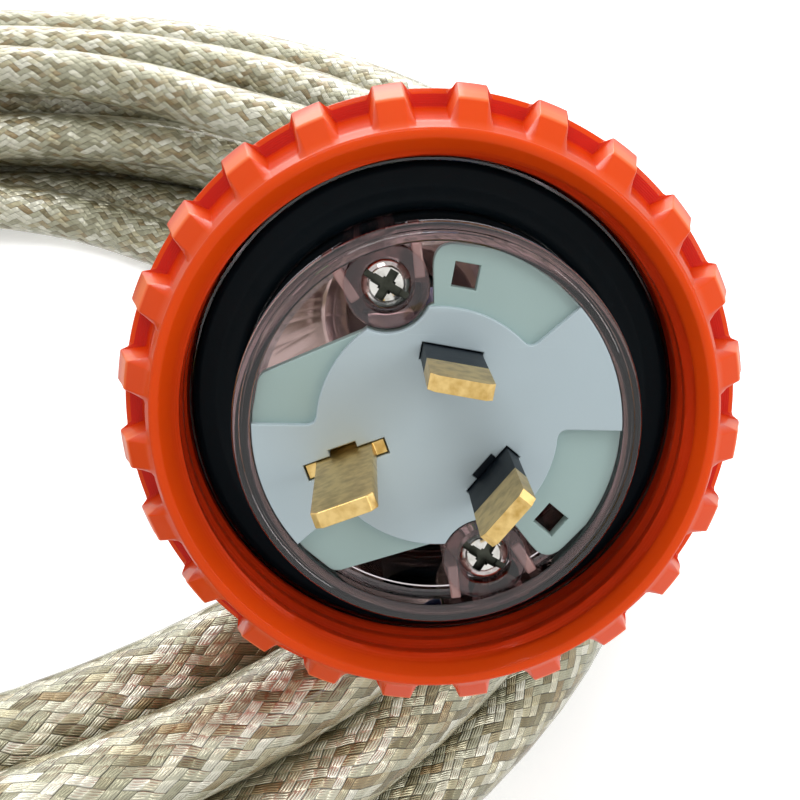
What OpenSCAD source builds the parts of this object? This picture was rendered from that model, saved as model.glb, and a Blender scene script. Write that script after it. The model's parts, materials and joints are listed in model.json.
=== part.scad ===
// Shore power cord: a round weatherproof three-pin plug with a castellated screw ring,
// ten metres of screened cord wound into a coil, and the socket connector at its far end.
// Frame: origin at the centre of the plug's pin face, +Z up, the plug's nose towards -Y.
// The plug's own parts are drawn with +Z out of the pin face and +Y up, then tilted.

/* [Plug attitude] */
// Upward tilt of the plug's nose as it lies on the coil, in degrees
plug_pitch = 21; // [0:1:30]
// Direction of the earth pin on the face, counterclockwise from the right, in degrees
earth_angle = 199; // [0:1:359]
// Height of the pin face's centre above the table
face_height = 100; // [98:0.5:120]

/* [Pin face] */
// Outer radius of the clear spigot
spigot_r = 22; // [20:0.1:24]
// Wall of the clear spigot
spigot_wall = 2.1; // [1.5:0.1:3]
// Thickness of the pin carrier's plate
plate_t = 3; // [2:0.1:5]
// Height of the carrier's raised hub and wings
raise_h = 1; // [0.5:0.1:1.5]
// Radius of the carrier's raised hub
hub_r = 13; // [11:0.1:14.4]
// Half angle of each raised wing, in degrees
wing_half = 21; // [10:1:30]
// Radius of the circle of the active and neutral pins
pin_circle_r = 7.92; // [7:0.01:9]
// Radius of the earth pin's centre
earth_circle_r = 10.31; // [9.5:0.01:12]
// Width of a flat pin
pin_w = 6.35; // [5:0.01:8]
// Thickness of a flat pin
pin_t = 1.63; // [1.2:0.01:2.5]
// Length of the active and neutral pins out of the face
pin_len = 17.1; // [14:0.1:22]
// Length of the earth pin out of the face
earth_len = 19.9; // [15:0.1:25]
// Length of the earth pin's wide root in the face
earth_root_w = 9; // [7.5:0.1:10]
// Length of an insulating sleeve out of the face
sleeve_len = 8.5; // [5:0.1:11]
// Side of the square tool holes in the carrier
tool_hole = 2.7; // [2:0.1:4]

/* [Screws] */
// Radius of the circle of the two face screws
face_screw_circle_r = 16; // [15:0.1:16.4]
// Radius of a face screw's head
face_screw_head_r = 2.7; // [2.2:0.1:3]
// Radius of a face screw's shank
face_screw_r = 1.5; // [1.2:0.1:1.8]
// Outer radius of a clear screw boss
boss_r = 4.6; // [4:0.1:4.8]
// Radius of the terminal screws
small_screw_r = 1.5; // [1:0.1:1.6]

/* [Gasket and front shell] */
// Distance of the gasket's face behind the pin face
gasket_back = 14.1; // [12:0.1:18]
// Thickness of the gasket
gasket_t = 3.5; // [2:0.1:5]
// Outer radius of the gasket and the shell's flange
flange_r = 27.9; // [27:0.1:28]
// Thickness of the shell's flange
flange_t = 4; // [3:0.1:5]

/* [Screw ring] */
// Distance of the ring's lip behind the pin face
lip_back = 4.7; // [4:0.1:8]
// Length of the ring
ring_len = 28; // [26:0.5:30]
// Outer radius of the smooth lip
lip_r = 31.5; // [31.2:0.1:32]
// Radius of the thread's crests
thread_minor_r = 28.3; // [28.2:0.1:28.6]
// Radius of the thread's roots
thread_major_r = 29.3; // [29.1:0.1:29.5]
// Pitch of the ring's thread
thread_pitch = 4; // [3:0.5:6]
// Radius over the teeth and the rim behind them
teeth_r = 36.1; // [35.5:0.1:36.5]
// Radius over the teeth at the top of their front ramp
crest_r = 34.8; // [34:0.1:35.2]
// Length of the toothed band behind the lip
teeth_len = 9.8; // [8:0.1:12]
// Thickness of the rim behind the teeth
rim_t = 3; // [2:0.1:4]
// Radius of the plain skirt behind the rim
skirt_r = 33.5; // [32.5:0.1:34]
// Number of teeth
teeth_count = 24; // [12:1:30]
// Width of the floor of the pocket between two teeth
pocket_w = 2.6; // [2:0.1:3.2]
// Thickness of the ring's inward flange
ring_flange_t = 3; // [2:0.1:4]
// Thickness of the slip washer
slip_t = 1; // [0.6:0.1:1.5]

/* [Rear housing] */
// Outer radius of the neck that the ring slides on
neck_r = 24; // [23.8:0.1:24.2]
// Length of the neck
neck_len = 14.6; // [13:0.1:18]
// Outer radius of the housing's barrel
barrel_r = 25.2; // [25:0.1:25.6]
// Length of the barrel
barrel_len = 23; // [16:0.5:26]
// Length of the housing's taper
taper_len = 23; // [18:0.5:30]
// Outer radius of the taper's small end
taper_r = 16.4; // [15.8:0.1:17]
// Wall of the housing
housing_wall = 2.4; // [2:0.1:3]
// Outer radius of the threaded spout
spout_r = 12.6; // [12:0.1:13.2]
// Length of the threaded spout
spout_len = 9; // [7:0.5:12]

/* [Gland] */
// Outer radius of the gland nut at its big end
nut_r = 15.6; // [15:0.1:15.8]
// Outer radius of the gland nut's small end
nut_end_r = 12; // [11.5:0.1:12.5]
// Length of the gland nut
nut_len = 17; // [15:0.5:22]
// Thickness of the gland nut's end wall
nut_end_t = 4; // [2:0.5:5]
// Outer radius of the gland seal
seal_r = 10.6; // [10:0.1:10.8]
// Length of the gland seal
seal_len = 12; // [8:0.5:14]

/* [Cord] */
// Diameter of the cord
cord_d = 13; // [11:0.1:13]
// Spacing of the coil's turns, sideways and upwards
turn_pitch = 13.5; // [13.5:0.1:15]
// Radius of the coil's inner turn
coil_r = 129; // [127:0.5:132]
// Turns in the coil's top layer
layer_turns = 2.38; // [2:0.01:3]
// How much further in the coil's lower layers reach, each time
layer_inset = 5; // [3:0.1:6]
// Diameter of a core
core_d = 3.4; // [2.5:0.1:3.6]

/* [Connector] */
// Length of the connector's collar
collar_len = 24; // [20:0.5:30]
// Depth of the socket face in the collar
socket_depth = 14.3; // [12:0.1:18]
// Crest radius of the collar's thread
collar_crest_r = 29; // [28.9:0.05:29.2]
// Root radius of the collar's thread
collar_root_r = 28.1; // [27.8:0.1:28.2]
// Thickness of the socket face
socket_t = 5; // [4:0.1:6]
// Width of a socket slot
slot_w = 2.1; // [1.9:0.1:2.6]
// Angle that the cord turns through from the coil's end to the connector, in degrees
connector_turn = 126; // [122:1:130]
// Radius of that turn
turn_r = 60; // [56:1:62]

/* [Hidden] */
$fn = 96;

// Clearances
fit_gap = 0.1;          // between pieces that push together by hand
slide_gap = 0.4;        // between the ring's flange and the neck
thread_gap = 0.15;      // between a nut and its spout
eps = 0.01;             // overshoot of a cut past a face

// Colours
clear_tint = [0.86, 0.88, 0.88, 0.35];
orange = [0.93, 0.27, 0.09];
pale = [0.80, 0.88, 0.88];
black = [0.05, 0.05, 0.06];
brass = [0.80, 0.66, 0.36];
steel = [0.70, 0.71, 0.72];
braid_tint = [0.66, 0.63, 0.55];

// Distances behind the pin face
gasket_rear = gasket_back + gasket_t;
shell_rear = gasket_rear + flange_t;
ring_rear = lip_back + ring_len;
slip_front = ring_rear - ring_flange_t - slip_t;
ring_bore_rear = ring_rear - ring_flange_t;
ring_flange_bore = neck_r + slide_gap;

// Distances behind the joint plane, where the front shell meets the rear housing
barrel_front = neck_len;
taper_front = barrel_front + barrel_len;
taper_rear = taper_front + taper_len;
spout_rear = taper_rear + spout_len;
nut_front = taper_rear + 0.5;
nut_rear = nut_front + nut_len;
nut_shoulder = nut_rear - nut_end_t;
washer_t = 1.5;
seal_rear = nut_shoulder - washer_t;
seal_front = seal_rear - seal_len;
sheath_front = taper_front - 4;
bore_r = neck_r - 1.8;
seal_seat_r = bore_r + 0.8;
seal_seat_len = 1.6;
spigot_inner_r = spigot_r - spigot_wall;
carrier_r = spigot_inner_r - 0.05;
cord_r = cord_d / 2;
seal_bore_r = cord_r + 0.02;
pillar_r = 3.6;
pillar_len = 13;
pin_stop = 12;          // how far each pin's terminal reaches behind the carrier's plate

// Directions on the face
north = earth_angle + 180;
neutral_angle = north + 60;
active_angle = north - 60;
screw_angles = [north + 90, north - 90];

// Placement of the two ends of the cord
function unit(v) = v / norm(v);
plug_axis = [0, cos(plug_pitch), -sin(plug_pitch)];
plug_exit = plug_axis * (shell_rear + nut_rear);
table_z = -face_height;

module plug_place() rotate([90 - plug_pitch, 0, 0]) children();

// The coil: four layers that spiral out and in by turns, from the top layer down
coil_centre = [-116.2, 132];
coil_start_angle = 54;
coil_layers = 4;
rings_per_turn = 24;
coil_sides = 6;
lead_sides = 10;
foot = 0.4 * cord_d;    // flat foot of the cord, a tenth of its diameter deep
ease_turns = 0.2;       // the coil's two ends draw inwards, clear of the turn beside them
ease_depth = 9;
inset_turns = layer_inset / turn_pitch;
layer_starts = [
    0,
    layer_turns,
    2 * layer_turns + inset_turns,
    3 * layer_turns + 2 * inset_turns
];
coil_turns = 4 * layer_turns + 4 * inset_turns;
coil_steps = round(coil_turns * rings_per_turn);

function ramp(t) = max(0, min(1, t));
function layer_of(t) = t < layer_starts[1] ? 0 : t < layer_starts[2] ? 1 : t < layer_starts[3] ? 2 : 3;
function spiral_out(t) =
    let (k = layer_of(t), u = t - layer_starts[k])
    k == 0 ? turn_pitch * u
    : k == 2 ? turn_pitch * u - layer_inset
    : turn_pitch * (layer_turns - u);
function ease(t) =
    ease_depth * (pow(ramp(1 - t / ease_turns), 2)
    + pow(ramp(1 - (coil_turns - t) / ease_turns), 2));
function layers_down(t) =
    ramp((t - layer_starts[1] + 0.25) * 2)
    + ramp((t - layer_starts[2] + 0.25) * 2)
    + ramp((t - layer_starts[3] + 0.25) * 2);
function coil_point(t) =
    let (a = coil_start_angle + 360 * t, r = coil_r + spiral_out(t) - ease(t))
    [
        coil_centre.x + r * cos(a),
        coil_centre.y + r * sin(a),
        table_z + foot + turn_pitch * (coil_layers - 1 - layers_down(t))
    ];
coil_turns_path = [for (i = [0:coil_steps]) coil_point(i / rings_per_turn)];
coil_in = coil_turns_path[0]
    - unit(coil_turns_path[1] - coil_turns_path[0]) * cord_d;
coil_out = coil_turns_path[coil_steps]
    + unit(coil_turns_path[coil_steps] - coil_turns_path[coil_steps - 1]) * cord_d;
coil_path = concat([coil_in], coil_turns_path, [coil_out]);

// From the coil's end the cord turns into the coil's middle and rises to the connector,
// which lies on its collar's front thread crest and its barrel's rear edge.
coil_in_dir = unit(coil_turns_path[0] - coil_in);
coil_out_dir = unit(coil_out - coil_turns_path[coil_steps]);
turn_steps = 9;
out_heading = atan2(coil_out_dir.y, coil_out_dir.x);
connector_heading = out_heading + connector_turn;
connector_tilt = atan((collar_crest_r - barrel_r) / (collar_len + taper_front - 3.2));
connector_axis = [
    cos(connector_heading) * cos(connector_tilt),
    sin(connector_heading) * cos(connector_tilt),
    sin(connector_tilt)
];
connector_exit_z = table_z + 0.3 + barrel_r * cos(connector_tilt)
    - (nut_rear - taper_front) * sin(connector_tilt);
turn_rise = connector_exit_z - connector_axis.z * cord_d - coil_out.z;
turn_centre = coil_out + coil_out_dir * cord_d
    + turn_r * [-sin(out_heading), cos(out_heading), 0];
turn_path = [
    for (i = [0:turn_steps])
        let (f = i / turn_steps, h = out_heading + connector_turn * f)
        turn_centre + [turn_r * sin(h), -turn_r * cos(h), turn_rise * f * f * (3 - 2 * f)]
];
connector_exit = turn_path[turn_steps] + connector_axis * cord_d;
connector_origin = connector_exit + connector_axis * (collar_len + nut_rear);
connector_lead_path = concat([coil_out], turn_path, [connector_exit]);

module connector_place()
    translate(connector_origin)
    rotate([0, 90 - connector_tilt, connector_heading])
    children();

// From the plug's gland to the coil the cord runs straight for one diameter at both ends,
// and bends smoothly in between.
function bend(a, da, b, db, reach, steps) = [
    for (i = [0:steps])
        let (t = i / steps, u = 1 - t)
        a * pow(u, 3) + (a + da * reach) * 3 * u * u * t
            + (b - db * reach) * 3 * u * t * t + b * pow(t, 3)
];
function free_cord(a, da, b, db, reach, steps) =
    concat([a], bend(a + da * cord_d, da, b - db * cord_d, db, reach, steps), [b]);

lead_reach = 36;
lead_steps = 4;
plug_lead_path = free_cord(plug_exit, plug_axis, coil_in, coil_in_dir, lead_reach, lead_steps);

function bend_radius(p) =
    min([
        for (i = [1:len(p) - 2])
            let (
                a = p[i] - p[i - 1],
                b = p[i + 1] - p[i],
                turn = acos(min(1, a * b / (norm(a) * norm(b))))
            )
            turn < 0.1 ? 1000 : (norm(a) + norm(b)) / 2 / (turn * PI / 180)
    ]);
function path_length(p) =
    len(p) < 2 ? 0 : sum_steps([for (i = [1:len(p) - 1]) norm(p[i] - p[i - 1])]);
function sum_steps(v, i = 0, total = 0) =
    i == len(v) ? total : sum_steps(v, i + 1, total + v[i]);
function least_gap(p) =
    min([
        for (i = [0:len(p) - 1], j = [i + 12:1:len(p) - 1]) norm(p[i] - p[j])
    ]) - cord_d;

// Sweeps a round section with a flat foot along a path
function ahead(p, i) =
    let (n = len(p) - 1)
    i == 0 ? unit(p[1] - p[0])
    : i == n ? unit(p[n] - p[n - 1])
    : unit(unit(p[i + 1] - p[i]) + unit(p[i] - p[i - 1]));
function section(c, dir, r, sides, low, up_ref) =
    let (side = unit(cross(dir, up_ref)), up = cross(side, dir))
    [
        for (k = [0:sides - 1])
            let (a = 360 * k / sides)
            c + side * r * cos(a) + up * max(r * sin(a), -low)
    ];
function wall_faces(rings, sides) = [
    for (i = [0:rings - 2], k = [0:sides - 1], half = [0, 1])
        let (a = i * sides + k, b = i * sides + (k + 1) % sides)
        half == 0 ? [a, b, b + sides] : [a, b + sides, a + sides]
];
function end_faces(rings, sides) = concat(
    [for (k = [1:sides - 2]) [0, k + 1, k]],
    [for (k = [1:sides - 2]) let (e = (rings - 1) * sides) [e, e + k, e + k + 1]]
);

module sweep(path, r, sides, low, up_ref = [0, 0, 1])
    polyhedron(
        points = [
            for (i = [0:len(path) - 1])
                each section(path[i], ahead(path, i), r, sides, low, up_ref)
        ],
        faces = concat(wall_faces(len(path), sides), end_faces(len(path), sides))
    );

// ---------- shared shapes ----------

// A tube from one depth behind a face to another
module tube(outer, inner, front, rear)
    translate([0, 0, -rear])
    difference() {
        cylinder(r = outer, h = rear - front);
        translate([0, 0, -eps]) cylinder(r = inner, h = rear - front + 2 * eps);
    }

module rod(r, front, rear)
    translate([0, 0, -rear])
    cylinder(r = r, h = rear - front);

// A sector of a disc, between two angles
module sector(r, from, to, steps = 24)
    polygon(concat(
        [[0, 0]],
        [for (i = [0:steps]) let (a = from + (to - from) * i / steps) [r * cos(a), r * sin(a)]]
    ));

// A block whose length runs radially, centred at a radius along a direction
module radial_block(angle, radius, along, across, front, rear)
    rotate(angle)
    translate([radius - along / 2, -across / 2, -rear])
    cube([along, across, rear - front]);

// A screw with a rounded head, a cross and a slot, lying from a head seat backwards
module cross_screw(head_r, shank_r, head_top, seat, tip)
    difference() {
        union() {
            rod(shank_r, seat - eps, tip);
            rod(head_r, head_top + 0.5, seat);
            translate([0, 0, -head_top - 0.5])
                cylinder(r1 = head_r, r2 = head_r - 0.6, h = 0.5);
        }
        for (turn = [0, 90])
            rotate(turn)
            translate([-head_r * 0.62, -0.32, -head_top - 1.1])
            cube([head_r * 1.24, 0.64, 1.2]);
        translate([-head_r - eps, -0.28, -head_top - 0.6])
            cube([2 * head_r + 2 * eps, 0.56, 0.7]);
    }

// ---------- pieces of the plug's face ----------

boss_front = 1;
head_seat = 3.6;
rib_t = 1.1;
rib_spread = 13;
rib_len = 4.9;
ledge_w = 0.7;

module front_shell_shape()
    difference() {
        union() {
            rotate_extrude()
                polygon([
                    [spigot_inner_r, 0], [spigot_r - 0.4, 0], [spigot_r, -0.4],
                    [spigot_r, -gasket_rear], [flange_r, -gasket_rear],
                    [flange_r, -shell_rear], [spigot_inner_r, -shell_rear],
                    [spigot_inner_r, -plate_t - 1.5], [spigot_inner_r - ledge_w, -plate_t - 1.5],
                    [spigot_inner_r - ledge_w, -plate_t], [spigot_inner_r, -plate_t]
                ]);
            for (a = screw_angles)
                rotate(a) {
                    translate([face_screw_circle_r, 0, 0])
                        rotate(180)
                        rod(boss_r, boss_front, shell_rear);
                    for (side = [-1, 1])
                        rotate(side * rib_spread)
                        translate([face_screw_circle_r, -rib_t / 2, -shell_rear])
                        cube([rib_len, rib_t, shell_rear - boss_front - 0.3]);
                }
        }
        for (a = screw_angles)
            rotate(a)
            translate([face_screw_circle_r, 0, 0]) {
                rod(face_screw_head_r + 0.2, -eps, head_seat);
                rod(face_screw_r + fit_gap, 0, shell_rear + eps);
            }
    }

module front_shell() color(clear_tint) plug_place() front_shell_shape();

module face_gasket()
    color(black) plug_place()
    tube(flange_r, spigot_r + fit_gap, gasket_back, gasket_rear);

// Openings beside the face screws: each is bounded by the hub and two sloping edges
notch_near = 72;
notch_far_inner = 108;
notch_far_outer = 148;
notch_lap = 4;    // how far a lowered part runs in under a notch's edge, in degrees
past_rim = 2;

module carrier_notch()
    difference() {
        polygon(concat(
            [[4 * cos(notch_near), 4 * sin(notch_near)]],
            [[hub_r * cos(notch_far_inner), hub_r * sin(notch_far_inner)]],
            [for (i = [0:8])
                let (a = notch_far_outer - (notch_far_outer - notch_near) * i / 8)
                (carrier_r + past_rim) * [cos(a), sin(a)]]
        ));
        circle(r = hub_r);
    }

// The lowered parts of the carrier's face, between the hub, the wings and the notches
module carrier_window()
    difference() {
        union() {
            sector(carrier_r + past_rim, wing_half, notch_near + notch_lap);
            sector(carrier_r + past_rim, notch_far_inner - notch_lap, 180 - wing_half);
        }
        circle(r = hub_r);
    }

// The places where the pins pass through, with their keying notches
key_len = 3.1;
key_depth = 0.8;

module pin_slots(gap)
    for (a = [active_angle, neutral_angle])
        rotate(a) {
            translate([pin_circle_r - pin_t / 2 - gap, -pin_w / 2 - gap])
                square([pin_t + 2 * gap, pin_w + 2 * gap]);
            translate([pin_circle_r - pin_t / 2 - key_depth, -key_len / 2])
                square([key_depth + pin_t, key_len]);
        }

module earth_slot(gap)
    rotate(earth_angle) {
        translate([earth_circle_r - earth_root_w / 2 - gap, -pin_t / 2 - gap])
            square([earth_root_w + 2 * gap, pin_t + 2 * gap]);
        translate([earth_circle_r - key_len / 2, -pin_t / 2 - key_depth])
            square([key_len, key_depth + pin_t]);
    }

terminal_across = 6.5;
terminal_along = 5.4;
terminal_bore_len = 8;
holder_len = 6;
holder_wall = 0.9;
slot_gap = 0.12;

module pin_carrier()
    color(pale) plug_place()
    difference() {
        union() {
            rod(carrier_r, 0, plate_t);
            for (a = [active_angle, neutral_angle])
                radial_block(a, pin_circle_r, terminal_along + 2 * holder_wall,
                    terminal_across + 2 * holder_wall, plate_t - eps, plate_t + holder_len);
            radial_block(earth_angle, earth_circle_r, terminal_across + 2 * holder_wall,
                terminal_along + 2 * holder_wall, plate_t - eps, plate_t + holder_len);
        }
        rotate(north)
            for (side = [0, 1])
                mirror([0, side, 0]) {
                    translate([0, 0, -plate_t - eps])
                        linear_extrude(plate_t + 2 * eps) carrier_notch();
                    translate([0, 0, -raise_h])
                        linear_extrude(raise_h + eps) carrier_window();
                }
        translate([0, 0, -plate_t - eps])
            linear_extrude(plate_t + 2 * eps) {
                pin_slots(slot_gap);
                earth_slot(slot_gap);
                for (a = [north + 60, north - 60])
                    rotate(a)
                    translate([face_screw_circle_r + 0.4, 0])
                    square(tool_hole, center = true);
            }
        for (a = [active_angle, neutral_angle])
            radial_block(a, pin_circle_r, terminal_along + 2 * fit_gap,
                terminal_across + 2 * fit_gap, plate_t, plate_t + pin_stop);
        radial_block(earth_angle, earth_circle_r, terminal_across + 2 * fit_gap,
            terminal_along + 2 * fit_gap, plate_t, plate_t + pin_stop);
        for (a = screw_angles)
            rotate(a)
            translate([face_screw_circle_r, 0, 0])
            rod(boss_r + 0.3, -eps, plate_t + pin_stop);
    }

// A flat pin with a chamfered tip, and the terminal block behind the carrier's plate
tip_chamfer = 0.7;
wire_bore_r = core_d / 2 + 0.1;

module blade_tip(w, t, len)
    rotate([90, 0, 90])
    translate([0, 0, -t / 2])
    linear_extrude(t)
    polygon([
        [-w / 2, -plate_t], [w / 2, -plate_t], [w / 2, len - tip_chamfer],
        [w / 2 - tip_chamfer, len], [-w / 2 + tip_chamfer, len], [-w / 2, len - tip_chamfer]
    ]);

module terminal(across, along)
    difference() {
        translate([-along / 2, -across / 2, -plate_t - pin_stop])
            cube([along, across, pin_stop]);
        rod(wire_bore_r, plate_t + pin_stop - terminal_bore_len, plate_t + pin_stop + eps);
        translate([0, 0, -plate_t - pin_stop + 3])
            rotate([0, 90, 0])
            cylinder(r = small_screw_r + 0.05, h = along);
    }

neck_cut = 0.35;        // how much thinner the blade is under its sleeve, each side
neck_side = 0.6;        // how much narrower the blade is under its sleeve, each side

module live_pin_shape()
    difference() {
        union() {
            blade_tip(pin_w, pin_t, pin_len);
            terminal(terminal_across, terminal_along);
        }
        difference() {
            translate([-pin_t, -pin_w, -plate_t + 0.6])
                cube([2 * pin_t, 2 * pin_w, plate_t - 0.6 + sleeve_len]);
            translate([-pin_t / 2 + neck_cut, -pin_w / 2 + neck_side, -plate_t])
                cube([pin_t - 2 * neck_cut, pin_w - 2 * neck_side, plate_t + pin_len]);
        }
    }

module sleeve_shape()
    difference() {
        translate([-pin_t / 2, -pin_w / 2, -plate_t + 0.6])
            cube([pin_t, pin_w, plate_t - 0.6 + sleeve_len]);
        translate([-pin_t / 2 + neck_cut, -pin_w / 2 + neck_side, -plate_t])
            cube([pin_t - 2 * neck_cut, pin_w - 2 * neck_side, plate_t + pin_len]);
    }

module at_live_pin(angle)
    plug_place()
    rotate(angle)
    translate([pin_circle_r, 0, 0])
    children();

module active_pin() color(brass) at_live_pin(active_angle) live_pin_shape();

module neutral_pin() color(brass) at_live_pin(neutral_angle) live_pin_shape();

module active_sleeve() color(black) at_live_pin(active_angle) sleeve_shape();

module neutral_sleeve() color(black) at_live_pin(neutral_angle) sleeve_shape();

module at_earth_pin()
    rotate(earth_angle)
    translate([earth_circle_r, 0, 0])
    rotate(90)
    children();

module earth_pin()
    color(brass) plug_place() at_earth_pin()
    union() {
        blade_tip(pin_w, pin_t, earth_len);
        translate([-pin_t / 2, -earth_root_w / 2, -plate_t])
            cube([pin_t, earth_root_w, plate_t - 0.4]);
        terminal(terminal_across, terminal_along);
    }

module face_screws()
    color(steel) plug_place()
    for (a = screw_angles)
        rotate(a)
        translate([face_screw_circle_r, 0, 0])
        rotate(40)
        cross_screw(face_screw_head_r, face_screw_r, head_seat - 1.7, head_seat,
            shell_rear + pillar_len - 2);

// Set screws that press the cores in their terminals
module set_screw()
    translate([core_d / 2 + 0.15, 0, -plate_t - pin_stop + 3])
    rotate([0, 90, 0])
    difference() {
        cylinder(r = small_screw_r, h = terminal_along / 2 + 0.6 - core_d / 2);
        translate([-small_screw_r, -0.25, terminal_along / 2 - core_d / 2])
            cube([2 * small_screw_r, 0.5, 1]);
    }

module terminal_screws()
    color(steel) plug_place() {
        for (a = [active_angle, neutral_angle])
            rotate(a) translate([pin_circle_r, 0, 0]) set_screw();
        at_earth_pin() set_screw();
    }

// ---------- pieces of the rear housing, drawn behind the joint plane ----------

module housing_shape()
    difference() {
        union() {
            rotate_extrude()
                polygon([
                    [seal_seat_r, 0], [neck_r, 0], [neck_r, -barrel_front],
                    [barrel_r, -barrel_front], [barrel_r, -taper_front],
                    [taper_r, -taper_rear], [spout_r, -taper_rear], [spout_r, -spout_rear],
                    [seal_r + fit_gap, -spout_rear], [seal_r + fit_gap, -seal_front],
                    [cord_r + 0.5, -seal_front], [cord_r + 0.5, -seal_front + 2],
                    [taper_r - housing_wall, -taper_rear + 2],
                    [bore_r, -taper_front], [bore_r, -seal_seat_len],
                    [seal_seat_r, -seal_seat_len]
                ]);
            for (a = screw_angles)
                rotate(a)
                intersection() {
                    union() {
                        translate([face_screw_circle_r, 0, 0]) rod(pillar_r, 0, pillar_len);
                        translate([face_screw_circle_r, -1, -pillar_len])
                            cube([bore_r, 2, pillar_len - seal_seat_len - 0.4]);
                    }
                    rod(bore_r + 0.5, 0, pillar_len);
                }
        }
        for (a = screw_angles)
            rotate(a)
            translate([face_screw_circle_r, 0, 0])
            rod(face_screw_r + 0.02, -eps, pillar_len - 1);
        for (turn = [0:45:315])
            rotate(turn)
            translate([barrel_r - 0.6, -1, -taper_front - eps])
            cube([2, 2, barrel_len - 6]);
    }

module rear_housing()
    color(clear_tint) plug_place() translate([0, 0, -shell_rear]) housing_shape();

// A flat ring in the joint between the shell and the housing
module joint_seal_shape()
    tube(seal_seat_r - 0.05, bore_r - 0.9, 0, seal_seat_len);

module joint_seal()
    color(black) plug_place() translate([0, 0, -shell_rear]) joint_seal_shape();

module gland_seal_shape() tube(seal_r, seal_bore_r, seal_front, seal_rear);

module gland_washer_shape() tube(seal_r, cord_r + 0.2, seal_rear, nut_shoulder);

nut_flutes = 16;
flute_r = 1.2;
flute_len = 6.2;
grip_len = 8;            // the nut's straight part, which carries the flutes

module gland_nut_shape()
    difference() {
        rotate_extrude()
            polygon([
                [spout_r + thread_gap, -nut_front], [nut_r - 0.6, -nut_front],
                [nut_r, -nut_front - 0.6], [nut_r, -nut_front - grip_len], [nut_end_r, -nut_rear],
                [cord_r + 0.02, -nut_rear], [cord_r + 0.02, -nut_shoulder],
                [spout_r + thread_gap, -nut_shoulder]
            ]);
        for (k = [0:nut_flutes - 1])
            rotate(360 * k / nut_flutes)
            translate([nut_r + 0.5, 0, -nut_front - grip_len + 0.6])
            cylinder(r = flute_r, h = flute_len);
    }

module sheath_end_shape() rod(cord_r, sheath_front, nut_rear);

module gland_seal()
    color(black) plug_place() translate([0, 0, -shell_rear]) gland_seal_shape();

module gland_washer()
    color(pale) plug_place() translate([0, 0, -shell_rear]) gland_washer_shape();

module gland_nut()
    color(clear_tint) plug_place() translate([0, 0, -shell_rear]) gland_nut_shape();

module sheath_end()
    color(braid_tint) plug_place() translate([0, 0, -shell_rear]) sheath_end_shape();

// Cores from the sheath's end to their terminals, drawn behind the terminals' plane
core_circle_r = 2.6;

module core_shape(angle, radius, terminal_z, joint_z)
    let (
        start_z = joint_z - sheath_front,
        mid_z = (terminal_z + start_z) / 2,
        out = [cos(angle), sin(angle)]
    )
    sweep(
        [
            [out.x * core_circle_r, out.y * core_circle_r, start_z],
            [out.x * core_circle_r, out.y * core_circle_r, start_z + 4],
            [out.x * (radius + 1.2), out.y * (radius + 1.2), mid_z],
            [out.x * radius, out.y * radius, terminal_z - 3],
            [out.x * radius, out.y * radius, terminal_z + terminal_bore_len - 0.5]
        ],
        core_d / 2, 8, core_d, [sin(angle), -cos(angle), 0]
    );

plug_terminal_z = -plate_t - pin_stop;

module plug_core(angle, radius) plug_place() core_shape(angle, radius, plug_terminal_z, -shell_rear);

module active_core() color([0.42, 0.22, 0.12]) plug_core(active_angle, pin_circle_r);

module neutral_core() color([0.15, 0.35, 0.75]) plug_core(neutral_angle, pin_circle_r);

module earth_core() color([0.45, 0.65, 0.15]) plug_core(earth_angle, earth_circle_r);

// ---------- the screw ring and its slip washer ----------

module slip_washer()
    color([0.9, 0.9, 0.88]) plug_place()
    tube(thread_minor_r - 0.3, neck_r + 0.3, slip_front, ring_bore_rear);

crest_back = 4.1;       // where a tooth's front ramp reaches its crest, behind the lip
floor_front_r = 31.7;   // the pockets' floor, at the front and at the rim
floor_rear_r = 33.2;
pocket_tilt = atan((floor_rear_r - floor_front_r) / teeth_len);

// The band that the teeth are cut from
module tooth_band()
    rotate_extrude()
    polygon([
        [thread_major_r + 0.8, -0.9], [lip_r, -0.9], [crest_r, -crest_back],
        [teeth_r, -teeth_len - 0.2], [thread_major_r + 0.8, -teeth_len - 0.2]
    ]);

// The ring without its teeth: lip, pocket floor, rim, skirt, inward flange and thread
module ring_core()
    rotate_extrude()
    polygon([
        [thread_major_r + 1, 0], [lip_r - 0.6, 0], [lip_r, -0.6],
        [floor_front_r, -1.2], [floor_rear_r, -teeth_len], [teeth_r - 0.3, -teeth_len],
        [teeth_r, -teeth_len - 0.3], [teeth_r, -teeth_len - rim_t + 0.6],
        [teeth_r - 0.6, -teeth_len - rim_t], [skirt_r, -teeth_len - rim_t],
        [skirt_r, -ring_len + 1], [skirt_r - 1, -ring_len],
        [ring_flange_bore, -ring_len], [ring_flange_bore, -ring_len + ring_flange_t],
        [thread_minor_r, -ring_len + ring_flange_t],
        for (k = [3:-1:0])
            let (z = -3.2 - k * thread_pitch)
            each [
                [thread_minor_r, z - thread_pitch * 0.34],
                [thread_major_r, z - thread_pitch * 0.12],
                [thread_major_r, z + thread_pitch * 0.12],
                [thread_minor_r, z + thread_pitch * 0.34]
            ],
        [thread_minor_r, -1.8], [thread_major_r, -1], [thread_major_r + 1, -0.1]
    ]);

// The space between two teeth, sloping like its floor
behind_teeth = 10;

module pocket()
    translate([floor_rear_r - 0.3, 0, -teeth_len])
    rotate([0, -pocket_tilt, 0])
    linear_extrude(teeth_len + 3)
    polygon([
        [0, -pocket_w / 2], [5, -pocket_w / 2 - 3], [5, pocket_w / 2 + 3], [0, pocket_w / 2]
    ]);

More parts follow.
